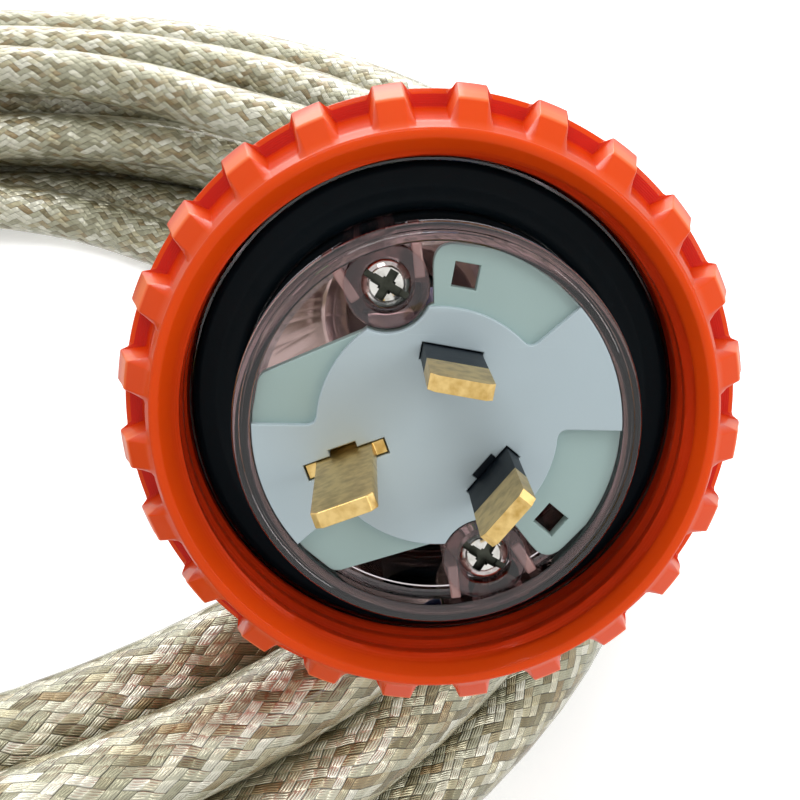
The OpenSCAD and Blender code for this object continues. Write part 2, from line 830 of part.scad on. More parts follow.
module screw_ring()
    color(orange) plug_place()
    translate([0, 0, -lip_back])
    union() {
        ring_core();
        difference() {
            tooth_band();
            difference() {
                for (k = [0:teeth_count - 1])
                    rotate(360 * (k + 0.5) / teeth_count)
                    pocket();
                translate([0, 0, -teeth_len - behind_teeth])
                    cylinder(r = teeth_r + rim_t, h = behind_teeth);
            }
        }
    }

// ---------- the cord ----------

module plug_lead() color(braid_tint) sweep(plug_lead_path, cord_r, lead_sides, foot);

module cord_coil() color(braid_tint) sweep(coil_path, cord_r, coil_sides, foot);

module connector_lead() color(braid_tint) sweep(connector_lead_path, cord_r, lead_sides, foot);

// ---------- the connector at the far end ----------

socket_rear = socket_depth + socket_t;
collar_bore_r = spigot_r + 0.5;

module connector_collar()
    color(clear_tint) connector_place()
    rotate_extrude()
        polygon([
                [collar_bore_r, -0.6], [collar_bore_r + 0.6, 0], [collar_root_r - 0.4, 0],
                [collar_root_r, -0.8],
                for (k = [0:2])
                    let (z = -3.2 - k * thread_pitch)
                    each [
                        [collar_root_r, z + thread_pitch * 0.3],
                        [collar_crest_r, z + thread_pitch * 0.08],
                        [collar_crest_r, z - thread_pitch * 0.08],
                        [collar_root_r, z - thread_pitch * 0.3]
                    ],
                [collar_root_r, -collar_len], [bore_r, -collar_len],
                [bore_r, -socket_rear - 1], [collar_bore_r - 3, -socket_rear - 1],
                [collar_bore_r - 3, -socket_rear], [collar_bore_r, -socket_rear]
        ]);

module socket_slots()
    union() {
        for (a = [-active_angle, -neutral_angle])
            rotate(a)
            translate([pin_circle_r - slot_w / 2, -pin_w / 2 - 0.5])
            square([slot_w, pin_w + 1]);
        rotate(-earth_angle)
            translate([earth_circle_r - pin_w / 2 - 0.5, -slot_w / 2])
            square([pin_w + 1, slot_w]);
    }

module socket_face()
    color(pale) connector_place()
    difference() {
        union() {
            rod(collar_bore_r - fit_gap, socket_depth, socket_rear);
            for (a = screw_angles)
                rotate(-a)
                translate([face_screw_circle_r, 0, 0])
                rod(pillar_r - 0.4, socket_rear - eps, collar_len);
        }
        translate([0, 0, -socket_rear - eps])
            linear_extrude(socket_t + 2 * eps) socket_slots();
        for (a = screw_angles)
            rotate(-a)
            translate([face_screw_circle_r, 0, 0]) {
                rod(face_screw_r + fit_gap, 0, collar_len + eps);
                rod(face_screw_head_r + 0.2, 0, socket_depth + 1.8);
            }
    }

// A pair of springy jaws behind each slot, on a terminal block
contact_len = 14;
jaw_t = 0.9;
contact_block = terminal_bore_len + 1;
contact_rear = socket_rear + contact_len + contact_block;

module contact_shape()
    difference() {
        union() {
            for (side = [-1, 1])
                translate([side * (pin_t / 2 + jaw_t / 2 + 0.05) - jaw_t / 2, -pin_w / 2,
                    -socket_rear - contact_len])
                cube([jaw_t, pin_w, contact_len]);
            translate([-terminal_along / 2, -terminal_across / 2, -contact_rear])
                cube([terminal_along, terminal_across, contact_block + eps]);
        }
        rod(wire_bore_r, contact_rear - terminal_bore_len, contact_rear + eps);
        translate([0, 0, -contact_rear + 3])
            rotate([0, 90, 0])
            cylinder(r = small_screw_r + 0.05, h = terminal_along);
    }

module at_live_contact(angle) rotate(-angle) translate([pin_circle_r, 0, 0]) children();

module at_earth_contact()
    rotate(-earth_angle)
    translate([earth_circle_r, 0, 0])
    rotate(90)
    children();

module active_contact() color(brass) connector_place() at_live_contact(active_angle) contact_shape();

module neutral_contact() color(brass) connector_place() at_live_contact(neutral_angle) contact_shape();

module earth_contact() color(brass) connector_place() at_earth_contact() contact_shape();

module contact_screw()
    translate([0, 0, plate_t + pin_stop - contact_rear]) set_screw();

module contact_screws()
    color(steel) connector_place() {
        for (a = [active_angle, neutral_angle]) at_live_contact(a) contact_screw();
        at_earth_contact() contact_screw();
    }

module socket_screws()
    color(steel) connector_place()
    for (a = screw_angles)
        rotate(-a)
        translate([face_screw_circle_r, 0, 0])
        cross_screw(face_screw_head_r, face_screw_r, socket_depth, socket_depth + 1.8,
            collar_len + pillar_len - 2);

module behind_collar() connector_place() translate([0, 0, -collar_len]) children();

module connector_housing() color(clear_tint) behind_collar() mirror([0, 1, 0]) housing_shape();

module connector_joint_seal() color(black) behind_collar() joint_seal_shape();

module connector_gland_seal() color(black) behind_collar() gland_seal_shape();

module connector_gland_washer() color(pale) behind_collar() gland_washer_shape();

module connector_gland_nut() color(clear_tint) behind_collar() gland_nut_shape();

module connector_sheath_end() color(braid_tint) behind_collar() sheath_end_shape();

module connector_core(angle, radius)
    connector_place() core_shape(-angle, radius, -contact_rear, -collar_len);

module connector_active_core()
    color([0.42, 0.22, 0.12]) connector_core(active_angle, pin_circle_r);

module connector_neutral_core()
    color([0.15, 0.35, 0.75]) connector_core(neutral_angle, pin_circle_r);

module connector_earth_core()
    color([0.45, 0.65, 0.15]) connector_core(earth_angle, earth_circle_r);

echo(
    cord_length = path_length(plug_lead_path) + path_length(coil_path)
        + path_length(connector_lead_path),
    least_gap_in_coil = least_gap(coil_path),
    plug_lead_bend = bend_radius(plug_lead_path),
    connector_lead_bend = bend_radius(connector_lead_path)
);

front_shell();
face_gasket();
pin_carrier();
active_pin();
neutral_pin();
earth_pin();
active_sleeve();
neutral_sleeve();
face_screws();
terminal_screws();
rear_housing();
joint_seal();
gland_seal();
gland_washer();
gland_nut();
sheath_end();
active_core();
neutral_core();
earth_core();
slip_washer();
screw_ring();
plug_lead();
cord_coil();
connector_lead();
connector_collar();
socket_face();
active_contact();
neutral_contact();
earth_contact();
contact_screws();
socket_screws();
connector_housing();
connector_joint_seal();
connector_gland_seal();
connector_gland_washer();
connector_gland_nut();
connector_sheath_end();
connector_active_core();
connector_neutral_core();
connector_earth_core();
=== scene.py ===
"""Shore power cord: the looks of the plug, its screw ring, the braided cord and the connector.

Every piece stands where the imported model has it. Sizes are in millimetres, and become metres
when a mesh is made.
"""

from __future__ import annotations

import json
import logging
import math
from contextlib import contextmanager
from dataclasses import dataclass
from enum import Enum
from typing import Iterator, Sequence

import bmesh
import bpy
from mathutils import Matrix, Vector

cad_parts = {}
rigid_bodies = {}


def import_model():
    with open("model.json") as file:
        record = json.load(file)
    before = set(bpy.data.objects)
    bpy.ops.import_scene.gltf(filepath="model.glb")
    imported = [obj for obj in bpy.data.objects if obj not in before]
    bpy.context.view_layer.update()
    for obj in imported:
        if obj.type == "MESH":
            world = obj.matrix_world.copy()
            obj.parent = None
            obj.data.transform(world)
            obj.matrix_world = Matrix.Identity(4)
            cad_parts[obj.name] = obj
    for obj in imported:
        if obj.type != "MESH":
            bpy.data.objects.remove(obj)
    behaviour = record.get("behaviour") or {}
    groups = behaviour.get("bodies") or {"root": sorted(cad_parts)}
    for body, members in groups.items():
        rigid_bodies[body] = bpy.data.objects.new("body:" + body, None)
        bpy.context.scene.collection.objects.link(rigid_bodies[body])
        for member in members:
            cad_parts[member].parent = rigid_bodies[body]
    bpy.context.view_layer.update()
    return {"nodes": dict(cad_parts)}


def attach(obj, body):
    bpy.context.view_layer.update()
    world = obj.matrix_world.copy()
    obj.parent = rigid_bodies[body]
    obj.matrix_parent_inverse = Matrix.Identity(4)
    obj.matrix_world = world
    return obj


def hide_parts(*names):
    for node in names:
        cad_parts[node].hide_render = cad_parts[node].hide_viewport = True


MM = 0.001
LOG = logging.getLogger("shore_power_cord")

# How far the plug's nose points up, in degrees, and how high its face stands over the table.
PLUG_PITCH = 21.0
FACE_HEIGHT = 100.0

Tree, Socket, Node = bpy.types.NodeTree, bpy.types.NodeSocket, bpy.types.Node
Material, Mesh, Piece = bpy.types.Material, bpy.types.Mesh, bpy.types.Object
Point = tuple[float, float]
Corner = tuple[float, float, float]


class Body(Enum):
    """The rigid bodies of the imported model."""

    PLUG = "plug_and_cord"
    WASHER = "slip_washer"
    RING = "screw_ring"


# --- colour and node helpers


def srgb(hex_code: str) -> tuple[float, float, float, float]:
    """Turn an sRGB hex code into the linear colour that a shader takes.

    Args:
        hex_code: Six hex digits, with or without a leading '#'.

    Returns:
        Linear red, green and blue, with alpha 1.
    """
    digits = hex_code.lstrip("#")
    channels = [int(digits[i : i + 2], 16) / 255 for i in (0, 2, 4)]
    linear = [c / 12.92 if c <= 0.04045 else ((c + 0.055) / 1.055) ** 2.4 for c in channels]
    return (linear[0], linear[1], linear[2], 1.0)


def add_node(
    tree: Tree,
    kind: str,
    inputs: dict[str | int, object] | None = None,
    output: str | int = 0,
    **settings: object,
) -> Socket:
    """Add one shader node, with its settings, its values and its links.

    Args:
        tree: The material's node tree.
        kind: The node's type name.
        inputs: Socket names or numbers, with a value or a socket to link from.
        output: The name or number of the output that is wanted.
        settings: Attributes to set on the node.

    Returns:
        That output of the new node.
    """
    node = tree.nodes.new(kind)
    for name, value in settings.items():
        setattr(node, name, value)
    for key, value in (inputs or {}).items():
        if isinstance(value, Socket):
            tree.links.new(value, node.inputs[key])
        else:
            node.inputs[key].default_value = value
    return node.outputs[output]


def set_stops(ramp: bpy.types.ColorRamp, stops: Sequence[tuple[float, str]]) -> None:
    """Give a colour ramp these positions and hex colours."""
    while len(ramp.elements) < len(stops):
        ramp.elements.new(1.0)
    for element, (position, code) in zip(ramp.elements, stops):
        element.position = position
        element.color = srgb(code)


# --- finishes


@dataclass(frozen=True)
class Finish:
    """What every finish shares: a name, a colour, a record slot and a surface."""

    name: str
    slot: str
    colour: str
    roughness: float

    def start(self) -> tuple[Material, Tree, Node]:
        """Make the material with one principled shader.

        Returns:
            The material, its tree and its shader.
        """
        material = bpy.data.materials.new(self.name)
        material.use_nodes = True
        tree = material.node_tree
        shader = tree.nodes["Principled BSDF"]
        shader.inputs["Base Color"].default_value = srgb(self.colour)
        shader.inputs["Roughness"].default_value = self.roughness
        return material, tree, shader

    def mottle(self, tree: Tree, size_mm: float, detail: float = 3.0) -> Socket:
        """A soft noise of this size in object space."""
        place = add_node(tree, "ShaderNodeTexCoord", None, "Object")
        inputs = {"Vector": place, "Scale": 1 / (size_mm * MM), "Detail": detail}
        return add_node(tree, "ShaderNodeTexNoise", inputs, "Fac")

    def rough_band(self, tree: Tree, shader: Node, value: Socket, spread: float) -> None:
        """Let the roughness wander by this much either way."""
        low, high = max(0.0, self.roughness - spread), self.roughness + spread
        band = add_node(tree, "ShaderNodeMapRange", {0: value, 3: low, 4: high})
        tree.links.new(band, shader.inputs["Roughness"])

    def bump(
        self, tree: Tree, shader: Node, height: Socket, depth_mm: float, strength: float = 1.0
    ) -> None:
        """Raise the surface by this depth where the height is 1."""
        inputs = {"Height": height, "Distance": depth_mm * MM, "Strength": strength}
        raised = add_node(tree, "ShaderNodeBump", inputs, "Normal")
        tree.links.new(raised, shader.inputs["Normal"])

    def put(self, shader: Node, **values: float) -> None:
        """Set the shader's plain inputs, with underscores for spaces."""
        for name, value in values.items():
            shader.inputs[name.replace("_", " ")].default_value = value

    def build(self) -> Material:
        """Make the material: a moulded plastic with a fine skin."""
        material, tree, shader = self.start()
        value = self.mottle(tree, 6.0)
        inputs = {0: value, 6: srgb(self.colour), 7: shade(self.colour, 0.94)}
        base = add_node(tree, "ShaderNodeMix", inputs, 2, data_type="RGBA")
        tree.links.new(base, shader.inputs["Base Color"])
        self.rough_band(tree, shader, value, 0.06)
        self.bump(tree, shader, self.mottle(tree, 0.35), 0.006)
        return material


def shade(hex_code: str, by: float) -> tuple[float, float, float, float]:
    """The linear colour of a hex code, made lighter or darker by a factor."""
    r, g, b, a = srgb(hex_code)
    return (min(1.0, r * by), min(1.0, g * by), min(1.0, b * by), a)


@dataclass(frozen=True)
class ClearPolycarbonate(Finish):
    """Clear moulded polycarbonate: glossy, bends light, greys a little at its edges."""

    ior: float = 1.585
    smoke: str = "#B59AA4"
    smoke_per_m: float = 50.0
    let_through: float = 1.0

    def build(self) -> Material:
        """Make the material."""
        material, tree, shader = self.start()
        self.rough_band(tree, shader, self.mottle(tree, 9.0), 0.015)
        self.put(shader, IOR=self.ior, Transmission_Weight=self.let_through)
        inputs = {0: srgb(self.smoke), 1: self.smoke_per_m}
        smoke = add_node(tree, "ShaderNodeVolumeAbsorption", inputs)
        tree.links.new(smoke, tree.nodes["Material Output"].inputs["Volume"])
        self.bump(tree, shader, self.mottle(tree, 5.0, 1.0), 0.012)
        return material


@dataclass(frozen=True)
class OrangePolyamide(Finish):
    """Moulded orange polyamide: satin, a little translucent, with redder painted shade where it is
    deep and a paler painted highlight on its crests.
    """

    # Painted shade: the redder colour of the pocket walls and of the bore deep inside.
    deep: str = "#CE2216"
    # Painted highlight: the paler colour of the tooth crests and of the lip's front edge.
    edge: str = "#FF7C44"
    line_mm: float = 0.26

    def build(self) -> Material:
        """Make the material."""
        material, tree, shader = self.start()
        value = self.mottle(tree, 7.0)
        depth, tarnish_and_highlight, radius = (
            add_node(tree, "ShaderNodeAttribute", None, "Fac", attribute_name=name)
            for name in ("depth", "crest", "radius")
        )
        tarnish_and_highlight = add_node(tree, "ShaderNodeMath", {0: tarnish_and_highlight, 1: 0.9}, operation="MULTIPLY")
        body: object = srgb(self.colour)
        # Mottle, then redder painted shade where it is deep, then a paler painted highlight on the
        # crests.
        for share, tint in (
            (value, shade(self.colour, 0.9)), (depth, srgb(self.deep)), (tarnish_and_highlight, srgb(self.edge)),
        ):
            inputs = {0: share, 6: body, 7: tint}
            body = add_node(tree, "ShaderNodeMix", inputs, 2, data_type="RGBA")
        tree.links.new(body, shader.inputs["Base Color"])
        self.rough_band(tree, shader, value, 0.05)
        self.put(
            shader, Subsurface_Weight=0.12, Subsurface_Scale=2 * MM, Specular_IOR_Level=0.06,
            Coat_Weight=0.15, Coat_Roughness=0.07,
        )
        shader.inputs["Subsurface Radius"].default_value = (1.0, 0.25, 0.08)
        patchy = add_node(tree, "ShaderNodeMath", {0: value, 1: 2.0}, operation="MULTIPLY")
        height = radius
        for operation, other in (
            ("MULTIPLY", 2 * math.pi / self.line_mm), ("SINE", 0.0), ("MULTIPLY", depth),
            ("MULTIPLY", patchy), ("ADD", self.mottle(tree, 0.5)),
        ):
            height = add_node(tree, "ShaderNodeMath", {0: height, 1: other}, operation=operation)
        self.bump(tree, shader, height, 0.01)
        return material


@dataclass(frozen=True)
class MouldedRubber(Finish):
    """Black nitrile rubber: near black, satin, with a fine matt grain from its mould."""

    def build(self) -> Material:
        """Make the material."""
        material, tree, shader = self.start()
        value = self.mottle(tree, 3.0)
        inputs = {0: value, 6: srgb(self.colour), 7: shade(self.colour, 1.8)}
        base = add_node(tree, "ShaderNodeMix", inputs, 2, data_type="RGBA")
        tree.links.new(base, shader.inputs["Base Color"])
        self.put(shader, Specular_IOR_Level=0.1)
        self.rough_band(tree, shader, value, 0.08)
        self.bump(tree, shader, self.mottle(tree, 0.3), 0.015)
        return material


@dataclass(frozen=True)
class DrawnMetal(Finish):
    """Drawn brass or plated steel: mirror-like with fine lines along it and soft tarnish."""

    tarnish: str = "#DCB86E"
    line_mm: float = 0.25
    along: float = 0.12

    def build(self) -> Material:
        """Make the material."""
        material, tree, shader = self.start()
        value = self.mottle(tree, 1.3)
        tarnish_and_highlight = add_node(tree, "ShaderNodeValToRGB", {"Fac": value}, "Color")
        set_stops(tarnish_and_highlight.node.color_ramp, [(0.3, self.tarnish), (0.6, self.colour)])
        tree.links.new(tarnish_and_highlight, shader.inputs["Base Color"])
        self.put(shader, Metallic=1.0)
        self.rough_band(tree, shader, value, 0.08)
        place = add_node(tree, "ShaderNodeTexCoord", None, "Object")
        inputs = {"Vector": place, "Scale": (1.0, self.along, 1.0)}
        drawn = add_node(tree, "ShaderNodeMapping", inputs)
        inputs = {"Vector": drawn, "Scale": 1 / (self.line_mm * MM), "Detail": 2.0}
        lines = add_node(tree, "ShaderNodeTexNoise", inputs, "Fac")
        self.bump(tree, shader, lines, 0.006)
        return material


@dataclass(frozen=True)
class BraidedSheath(Finish):
    """A braid of flat metal strips under a clear glossy PVC sheath.

    Each cell of the braid shows the wires of one of the two directions, and each strip has its
    own tone of silver, straw, brown or gold.
    """

    strips_round: int = 24
    lay_mm: float = 3.2
    wires: int = 4
    girth_mm: float = math.pi * 13.0
    wander_per_mm: float = 0.12
    wander: float = 1.1
    tones: tuple[tuple[float, str], ...] = (
        (0.08, "#7E7455"), (0.26, "#9C9A80"), (0.46, "#BBB9A0"),
        (0.64, "#DFDDCC"), (0.78, "#B7B090"), (0.92, "#8F7C59"),
    )

    def build(self) -> Material:
        """Make the material."""
        material, tree, shader = self.start()
        uv = add_node(tree, "ShaderNodeUVMap", None, "UV", uv_map="along")
        split = add_node(tree, "ShaderNodeSeparateXYZ", {0: uv}).node.outputs
        inputs = {"Vector": uv, "Scale": self.wander_per_mm, "Detail": 2.0}
        wobble = add_node(tree, "ShaderNodeTexNoise", inputs, "Fac")
        round_step, strips = self.strips_round / self.girth_mm, float(self.strips_round)
        made: dict[str, object] = {"round": split[0], "length": split[1], "wobble": wobble}
        for name, operation, *values in (
            ("across", "MULTIPLY", "round", round_step),
            ("sway", "SUBTRACT", "wobble", 0.5),
            ("drift", "MULTIPLY", "sway", self.wander),
            ("along", "MULTIPLY_ADD", "length", 1 / self.lay_mm, "drift"),
            # One cell of the braid to each step of p and q, and two over, two under.
            ("p", "ADD", "across", "along"),
            ("q", "SUBTRACT", "across", "along"),
            ("p_cell", "FLOOR", "p"),
            ("q_cell", "FLOOR", "q"),
            ("p_part", "FRACT", "p"),
            ("q_part", "FRACT", "q"),
            ("cells_apart", "SUBTRACT", "p_cell", "q_cell"),
            ("of_four", "FLOORED_MODULO", "cells_apart", 4.0),
            ("over", "LESS_THAN", "of_four", 1.5),
            ("shown", "CHOOSE", "over", "p_part", "q_part"),
            ("other", "CHOOSE", "over", "q_part", "p_part"),
            ("p_strip", "FLOORED_MODULO", "p_cell", strips),
            ("q_strip", "FLOORED_MODULO", "q_cell", strips),
            ("half_turn", "MULTIPLY", "shown", math.pi),
            ("crown", "SINE", "half_turn"),
            ("other_half_turn", "MULTIPLY", "other", math.pi),
            ("dip", "SINE", "other_half_turn"),
            ("turns", "MULTIPLY", "shown", math.pi * self.wires),
            ("wave", "SINE", "turns"),
            ("wire", "ABSOLUTE", "wave"),
            ("flat_crown", "POWER", "crown", 0.35),
            ("strip_height", "MULTIPLY", "flat_crown", 0.7),
            ("wire_dip", "MULTIPLY", "wire", "dip"),
            ("wire_height", "MULTIPLY", "wire_dip", 0.3),
            ("height", "ADD", "strip_height", "wire_height"),
            # The offset keeps the two directions' tones apart.
            ("q_number", "ADD", "q_strip", 517.0),
            ("strip", "CHOOSE", "over", "p_strip", "q_number"),
        ):
            known = [made.get(v, v) if isinstance(v, str) else v for v in values]
            if operation == "CHOOSE":
                inputs = dict(zip((0, 3, 2), known))
                made[name] = add_node(tree, "ShaderNodeMix", inputs, data_type="FLOAT")
            else:
                inputs = dict(enumerate(known))
                made[name] = add_node(tree, "ShaderNodeMath", inputs, operation=operation)
        wire, height = made["wire"], made["height"]

        # Each strip has its own tone, and each crossing a little painted reflection of its own.
        inputs = {0: made["p_strip"], 1: made["q_strip"], 2: made["over"]}
        crossing = add_node(tree, "ShaderNodeCombineXYZ", inputs)
        tone = 0.0
        for size, inputs, share in (
            ("1D", {"W": made["strip"]}, 0.84), ("3D", {"Vector": crossing}, 0.16)
        ):
            chance = add_node(
                tree, "ShaderNodeTexWhiteNoise", inputs, "Value", noise_dimensions=size
            )
            inputs = {0: chance, 1: share, 2: tone}
            tone = add_node(tree, "ShaderNodeMath", inputs, operation="MULTIPLY_ADD")
        strip_tone = add_node(tree, "ShaderNodeValToRGB", {"Fac": tone}, "Color")
        set_stops(strip_tone.node.color_ramp, self.tones)
        # Painted shade: the strips are darkened at their gaps, where they dip apart.
        gap = add_node(tree, "ShaderNodeValToRGB", {"Fac": height}, "Color")
        set_stops(gap.node.color_ramp, [(0.16, "#2A2618"), (0.5, "#FFFFFF")])
        inputs = {0: 1.0, 6: strip_tone, 7: gap}
        lit = add_node(
            tree, "ShaderNodeMix", inputs, 2, data_type="RGBA", blend_type="MULTIPLY"
        )
        tree.links.new(lit, shader.inputs["Base Color"])
        self.rough_band(tree, shader, wire, 0.08)
        self.bump(tree, shader, height, 0.35, 0.9)
        self.put(shader, Metallic=0.6, Coat_Weight=0.45, Coat_Roughness=0.06, Coat_IOR=1.52)
        return material


FINISHES: dict[str, Finish] = {
    # Moulded with polished tools, so it is glass-bright, and smoky pink where it is thick.
    "clear": ClearPolycarbonate("clear_polycarbonate", "clear_polycarbonate", "#F1ECEF", 0.03),
    # The housing's inside has flow marks that blur what lies behind it.
    "frosted": ClearPolycarbonate(
        "flow_marked_polycarbonate", "clear_polycarbonate", "#F0D6D0", 0.2, let_through=0.86
    ),
    # The same plastic in the thin ribs: milky, and pink from the ring's light.
    "milky": ClearPolycarbonate(
        "milky_polycarbonate", "clear_polycarbonate", "#F0BDB6", 0.25, let_through=0.55
    ),
    # Moulded in tough orange nylon: satin, with a paler painted highlight on its crests and lip
    # edge, and redder painted shade in its pockets and bore.
    "orange": OrangePolyamide("orange_polyamide", "orange_plastic", "#E84A0A", 0.36),
    # Moulded nitrile rubber takes almost no light, so only its bead shows a dull line.
    "rubber": MouldedRubber("nitrile_rubber", "black_rubber", "#050E13", 0.42),
    # The pins' sleeves are harder than rubber and shine a little more.
    "sleeve": MouldedRubber("sleeve_polyamide", "black_sleeve", "#0D1319", 0.4),
    # Moulded pale nylon: an even, slightly bluish matt face.
    "nylon": Finish("pale_polyamide", "pale_nylon", "#B1C1C7", 0.5),
    # The same nylon where it is thin, so that the green behind it tints it.
    "window": Finish("thin_pale_polyamide", "pale_nylon", "#9FB6B3", 0.42),
    # Drawn brass, rolled flat and cut: warm, with fine lines and a little tarnish.
    "brass": DrawnMetal("drawn_brass", "brass_pins", "#E9C985", 0.33, "#C39E57"),
    # Nickel plate on turned steel: bright and cold.
    "steel": DrawnMetal("nickelled_steel", "steel_screws", "#E2E0DA", 0.14, "#BFBCB4"),
    # The screws' steel down in the recess, painted dark grey for the shade there.
    "recess": DrawnMetal("recess_shade_steel", "steel_screws", "#4A4C44", 0.35, "#34362F"),
    # Passivated zinc on the terminal screws: a dull olive.
    "zinc": DrawnMetal("passivated_steel", "steel_screws", "#56704F", 0.3, "#3C5236"),
    # Tinned and bare copper strips braided under clear PVC.
    "braid": BraidedSheath("braided_sheath", "braided_cord", "#C9C2AC", 0.3),
    # Extruded PVC on the three cores, in the colours of a flexible cord.
    "brown": Finish("brown_pvc", "brown_core", "#6B3A20", 0.4),
    "blue": Finish("blue_pvc", "blue_core", "#2A5CB8", 0.4),
    "green": Finish("green_yellow_pvc", "green_yellow_core", "#6FA83A", 0.4),
}
_MADE: dict[str, Material] = {}


def finish(key: str) -> Material:
    """The material of a finish, made once."""
    if key not in _MADE:
        _MADE[key] = FINISHES[key].build()
    return _MADE[key]


# --- mesh helpers


def plug_matrix() -> Matrix:
    """The plug's own frame, with Z out of the pin face, in the row frame."""
    return Matrix.Rotation(math.radians(90 - PLUG_PITCH), 4, "X")


def polar(r: float, degrees: float, z: float = 0.0) -> Corner:
    """The point at this radius and angle about Z, with a third value passed on."""
    a = math.radians(degrees)
    return (r * math.cos(a), r * math.sin(a), z)


def linked(name: str, data: bpy.types.ID) -> Piece:
    """Make an object of this data and link it to the scene."""
    obj = bpy.data.objects.new(name, data)
    bpy.context.scene.collection.objects.link(obj)
    return obj


@contextmanager
def editing(mesh: Mesh) -> Iterator[bmesh.types.BMesh]:
    """Open a mesh for editing, and write it back afterwards."""
    work = bmesh.new()
    work.from_mesh(mesh)
    yield work
    work.to_mesh(mesh)
    work.free()


def ease(obj: Piece, width_mm: float, sharper_deg: float = 30.0) -> bpy.types.Modifier:
    """Round a piece's edges where they are sharper than this angle."""
    bevel = obj.modifiers.new("eased edges", "BEVEL")
    bevel.width = width_mm * MM
    bevel.segments = 2
    bevel.limit_method = "ANGLE"
    bevel.angle_limit = math.radians(sharper_deg)
    return bevel


def new_piece(name: str, mesh: Mesh, key: str, body: Body) -> Piece:
    """Link a mesh as a piece that rides on a body and wears a finish.

    Args:
        name: The piece's name.
        mesh: Its mesh, in the row frame and in metres.
        key: The finish's key.
        body: The body that it rides on.

    Returns:
        The new object.
    """
    obj = linked(name, mesh)
    if mesh.materials:
        mesh.materials.clear()
    mesh.materials.append(finish(key))
    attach(obj, body.value)
    LOG.info("%s: %d faces", name, len(mesh.polygons))
    return obj


def smooth(mesh: Mesh, degrees: float = 35.0) -> None:
    """Shade a mesh smooth, but keep edges sharper than this angle."""
    mesh.polygons.foreach_set("use_smooth", [True] * len(mesh.polygons))
    mesh.set_sharp_from_angle(angle=math.radians(degrees))


def grid_mesh(
    name: str, rows: Sequence[Sequence[Vector]], close_rows: bool, close_columns: bool
) -> Mesh:
    """Make a mesh from rows of points.

    Args:
        name: The mesh's name.
        rows: Points in the row frame, in millimetres.
        close_rows: Whether the last row joins the first.
        close_columns: Whether each row's last point joins its first.

    Returns:
        The mesh, in metres.
    """
    wide = len(rows[0])
    points = [p * MM for row in rows for p in row]
    faces = []
    for i in range(len(rows) - (0 if close_rows else 1)):
        for k in range(wide - (0 if close_columns else 1)):
            a, b = i * wide, ((i + 1) % len(rows)) * wide
            m = (k + 1) % wide
            faces.append((a + k, a + m, b + m, b + k))
    mesh = bpy.data.meshes.new(name)
    mesh.from_pydata(points, [], faces)
    mesh.update()
    return mesh


def face_outwards(mesh: Mesh) -> None:
    """Make every face of a closed mesh point out."""
    with editing(mesh) as work:
        bmesh.ops.recalc_face_normals(work, faces=work.faces)


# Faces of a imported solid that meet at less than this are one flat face.
FLAT_DEG = 0.6


@dataclass
class RoundedSolid:
    """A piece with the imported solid's own shape, its edges eased as a moulding's are."""

    node: str
    key: str
    edge_mm: float = 0.25
    body: Body = Body.PLUG

    def build(self, nodes: dict[str, Piece]) -> Piece:
        """Copy the solid's mesh, join its flat faces, and round its edges.

        Args:
            nodes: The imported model's nodes by name.

        Returns:
            The piece.
        """
        mesh = nodes[self.node].data.copy()
        mesh.name = f"{self.node}_eased"
        with editing(mesh) as work:
            bmesh.ops.remove_doubles(work, verts=work.verts, dist=1e-6)
            bmesh.ops.dissolve_limit(
                work, angle_limit=math.radians(FLAT_DEG), verts=work.verts, edges=work.edges,
                delimit=set(),
            )
        smooth(mesh)
        obj = new_piece(f"{self.node}_eased", mesh, self.key, self.body)
        if self.edge_mm > 0:
            bevel = ease(obj, self.edge_mm, 35)
            bevel.miter_outer = "MITER_ARC"
            bevel.use_clamp_overlap = True
            bevel.harden_normals = True
        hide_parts(self.node)
        return obj


# --- turned and cut pieces


def lathe(name: str, profile: Sequence[Point], segments: int) -> Mesh:
    """Turn a profile about Z into a closed mesh, in millimetres.

    Args:
        name: The mesh's name.
        profile: Radius and height of each point. It starts and ends on the axis, or is a loop.
        segments: Facets round the axis.

    Returns:
        The mesh.
    """
    work = bmesh.new()
    rings = []
    for r, z in profile:
        count = 1 if r == 0 else segments
        rings.append([work.verts.new(polar(r, 360 * k / segments, z)) for k in range(count)])
    pairs = list(zip(rings, rings[1:]))
    if profile[0][0] != 0:
        pairs.append((rings[-1], rings[0]))
    for a, b in pairs:
        for k in range(segments):
            m = (k + 1) % segments
            corners = {a[k % len(a)]: None, a[m % len(a)]: None,
                       b[m % len(b)]: None, b[k % len(b)]: None}
            if len(corners) > 2:
                work.faces.new(list(corners))
    bmesh.ops.recalc_face_normals(work, faces=work.faces)
    mesh = bpy.data.meshes.new(name)
    work.to_mesh(mesh)
    work.free()
    return mesh


def block(size: tuple[float, float, float], at: Matrix) -> Mesh:
    """A box of this size, centred where the matrix says, in millimetres."""
    mesh = bpy.data.meshes.new("block")
    with editing(mesh) as work:
        bmesh.ops.create_cube(work, size=1.0, matrix=at @ Matrix.Diagonal((*size, 1.0)))
    return mesh


def moved(mesh: Mesh, by: Matrix) -> Mesh:
    """Move a mesh by a matrix and give it back."""
    mesh.transform(by)
    return mesh


def joined(name: str, meshes: Sequence[Mesh]) -> Mesh:
    """Put several meshes in one."""
    whole = bpy.data.meshes.new(name)
    with editing(whole) as work:
        for mesh in meshes:
            work.from_mesh(mesh)
    return whole


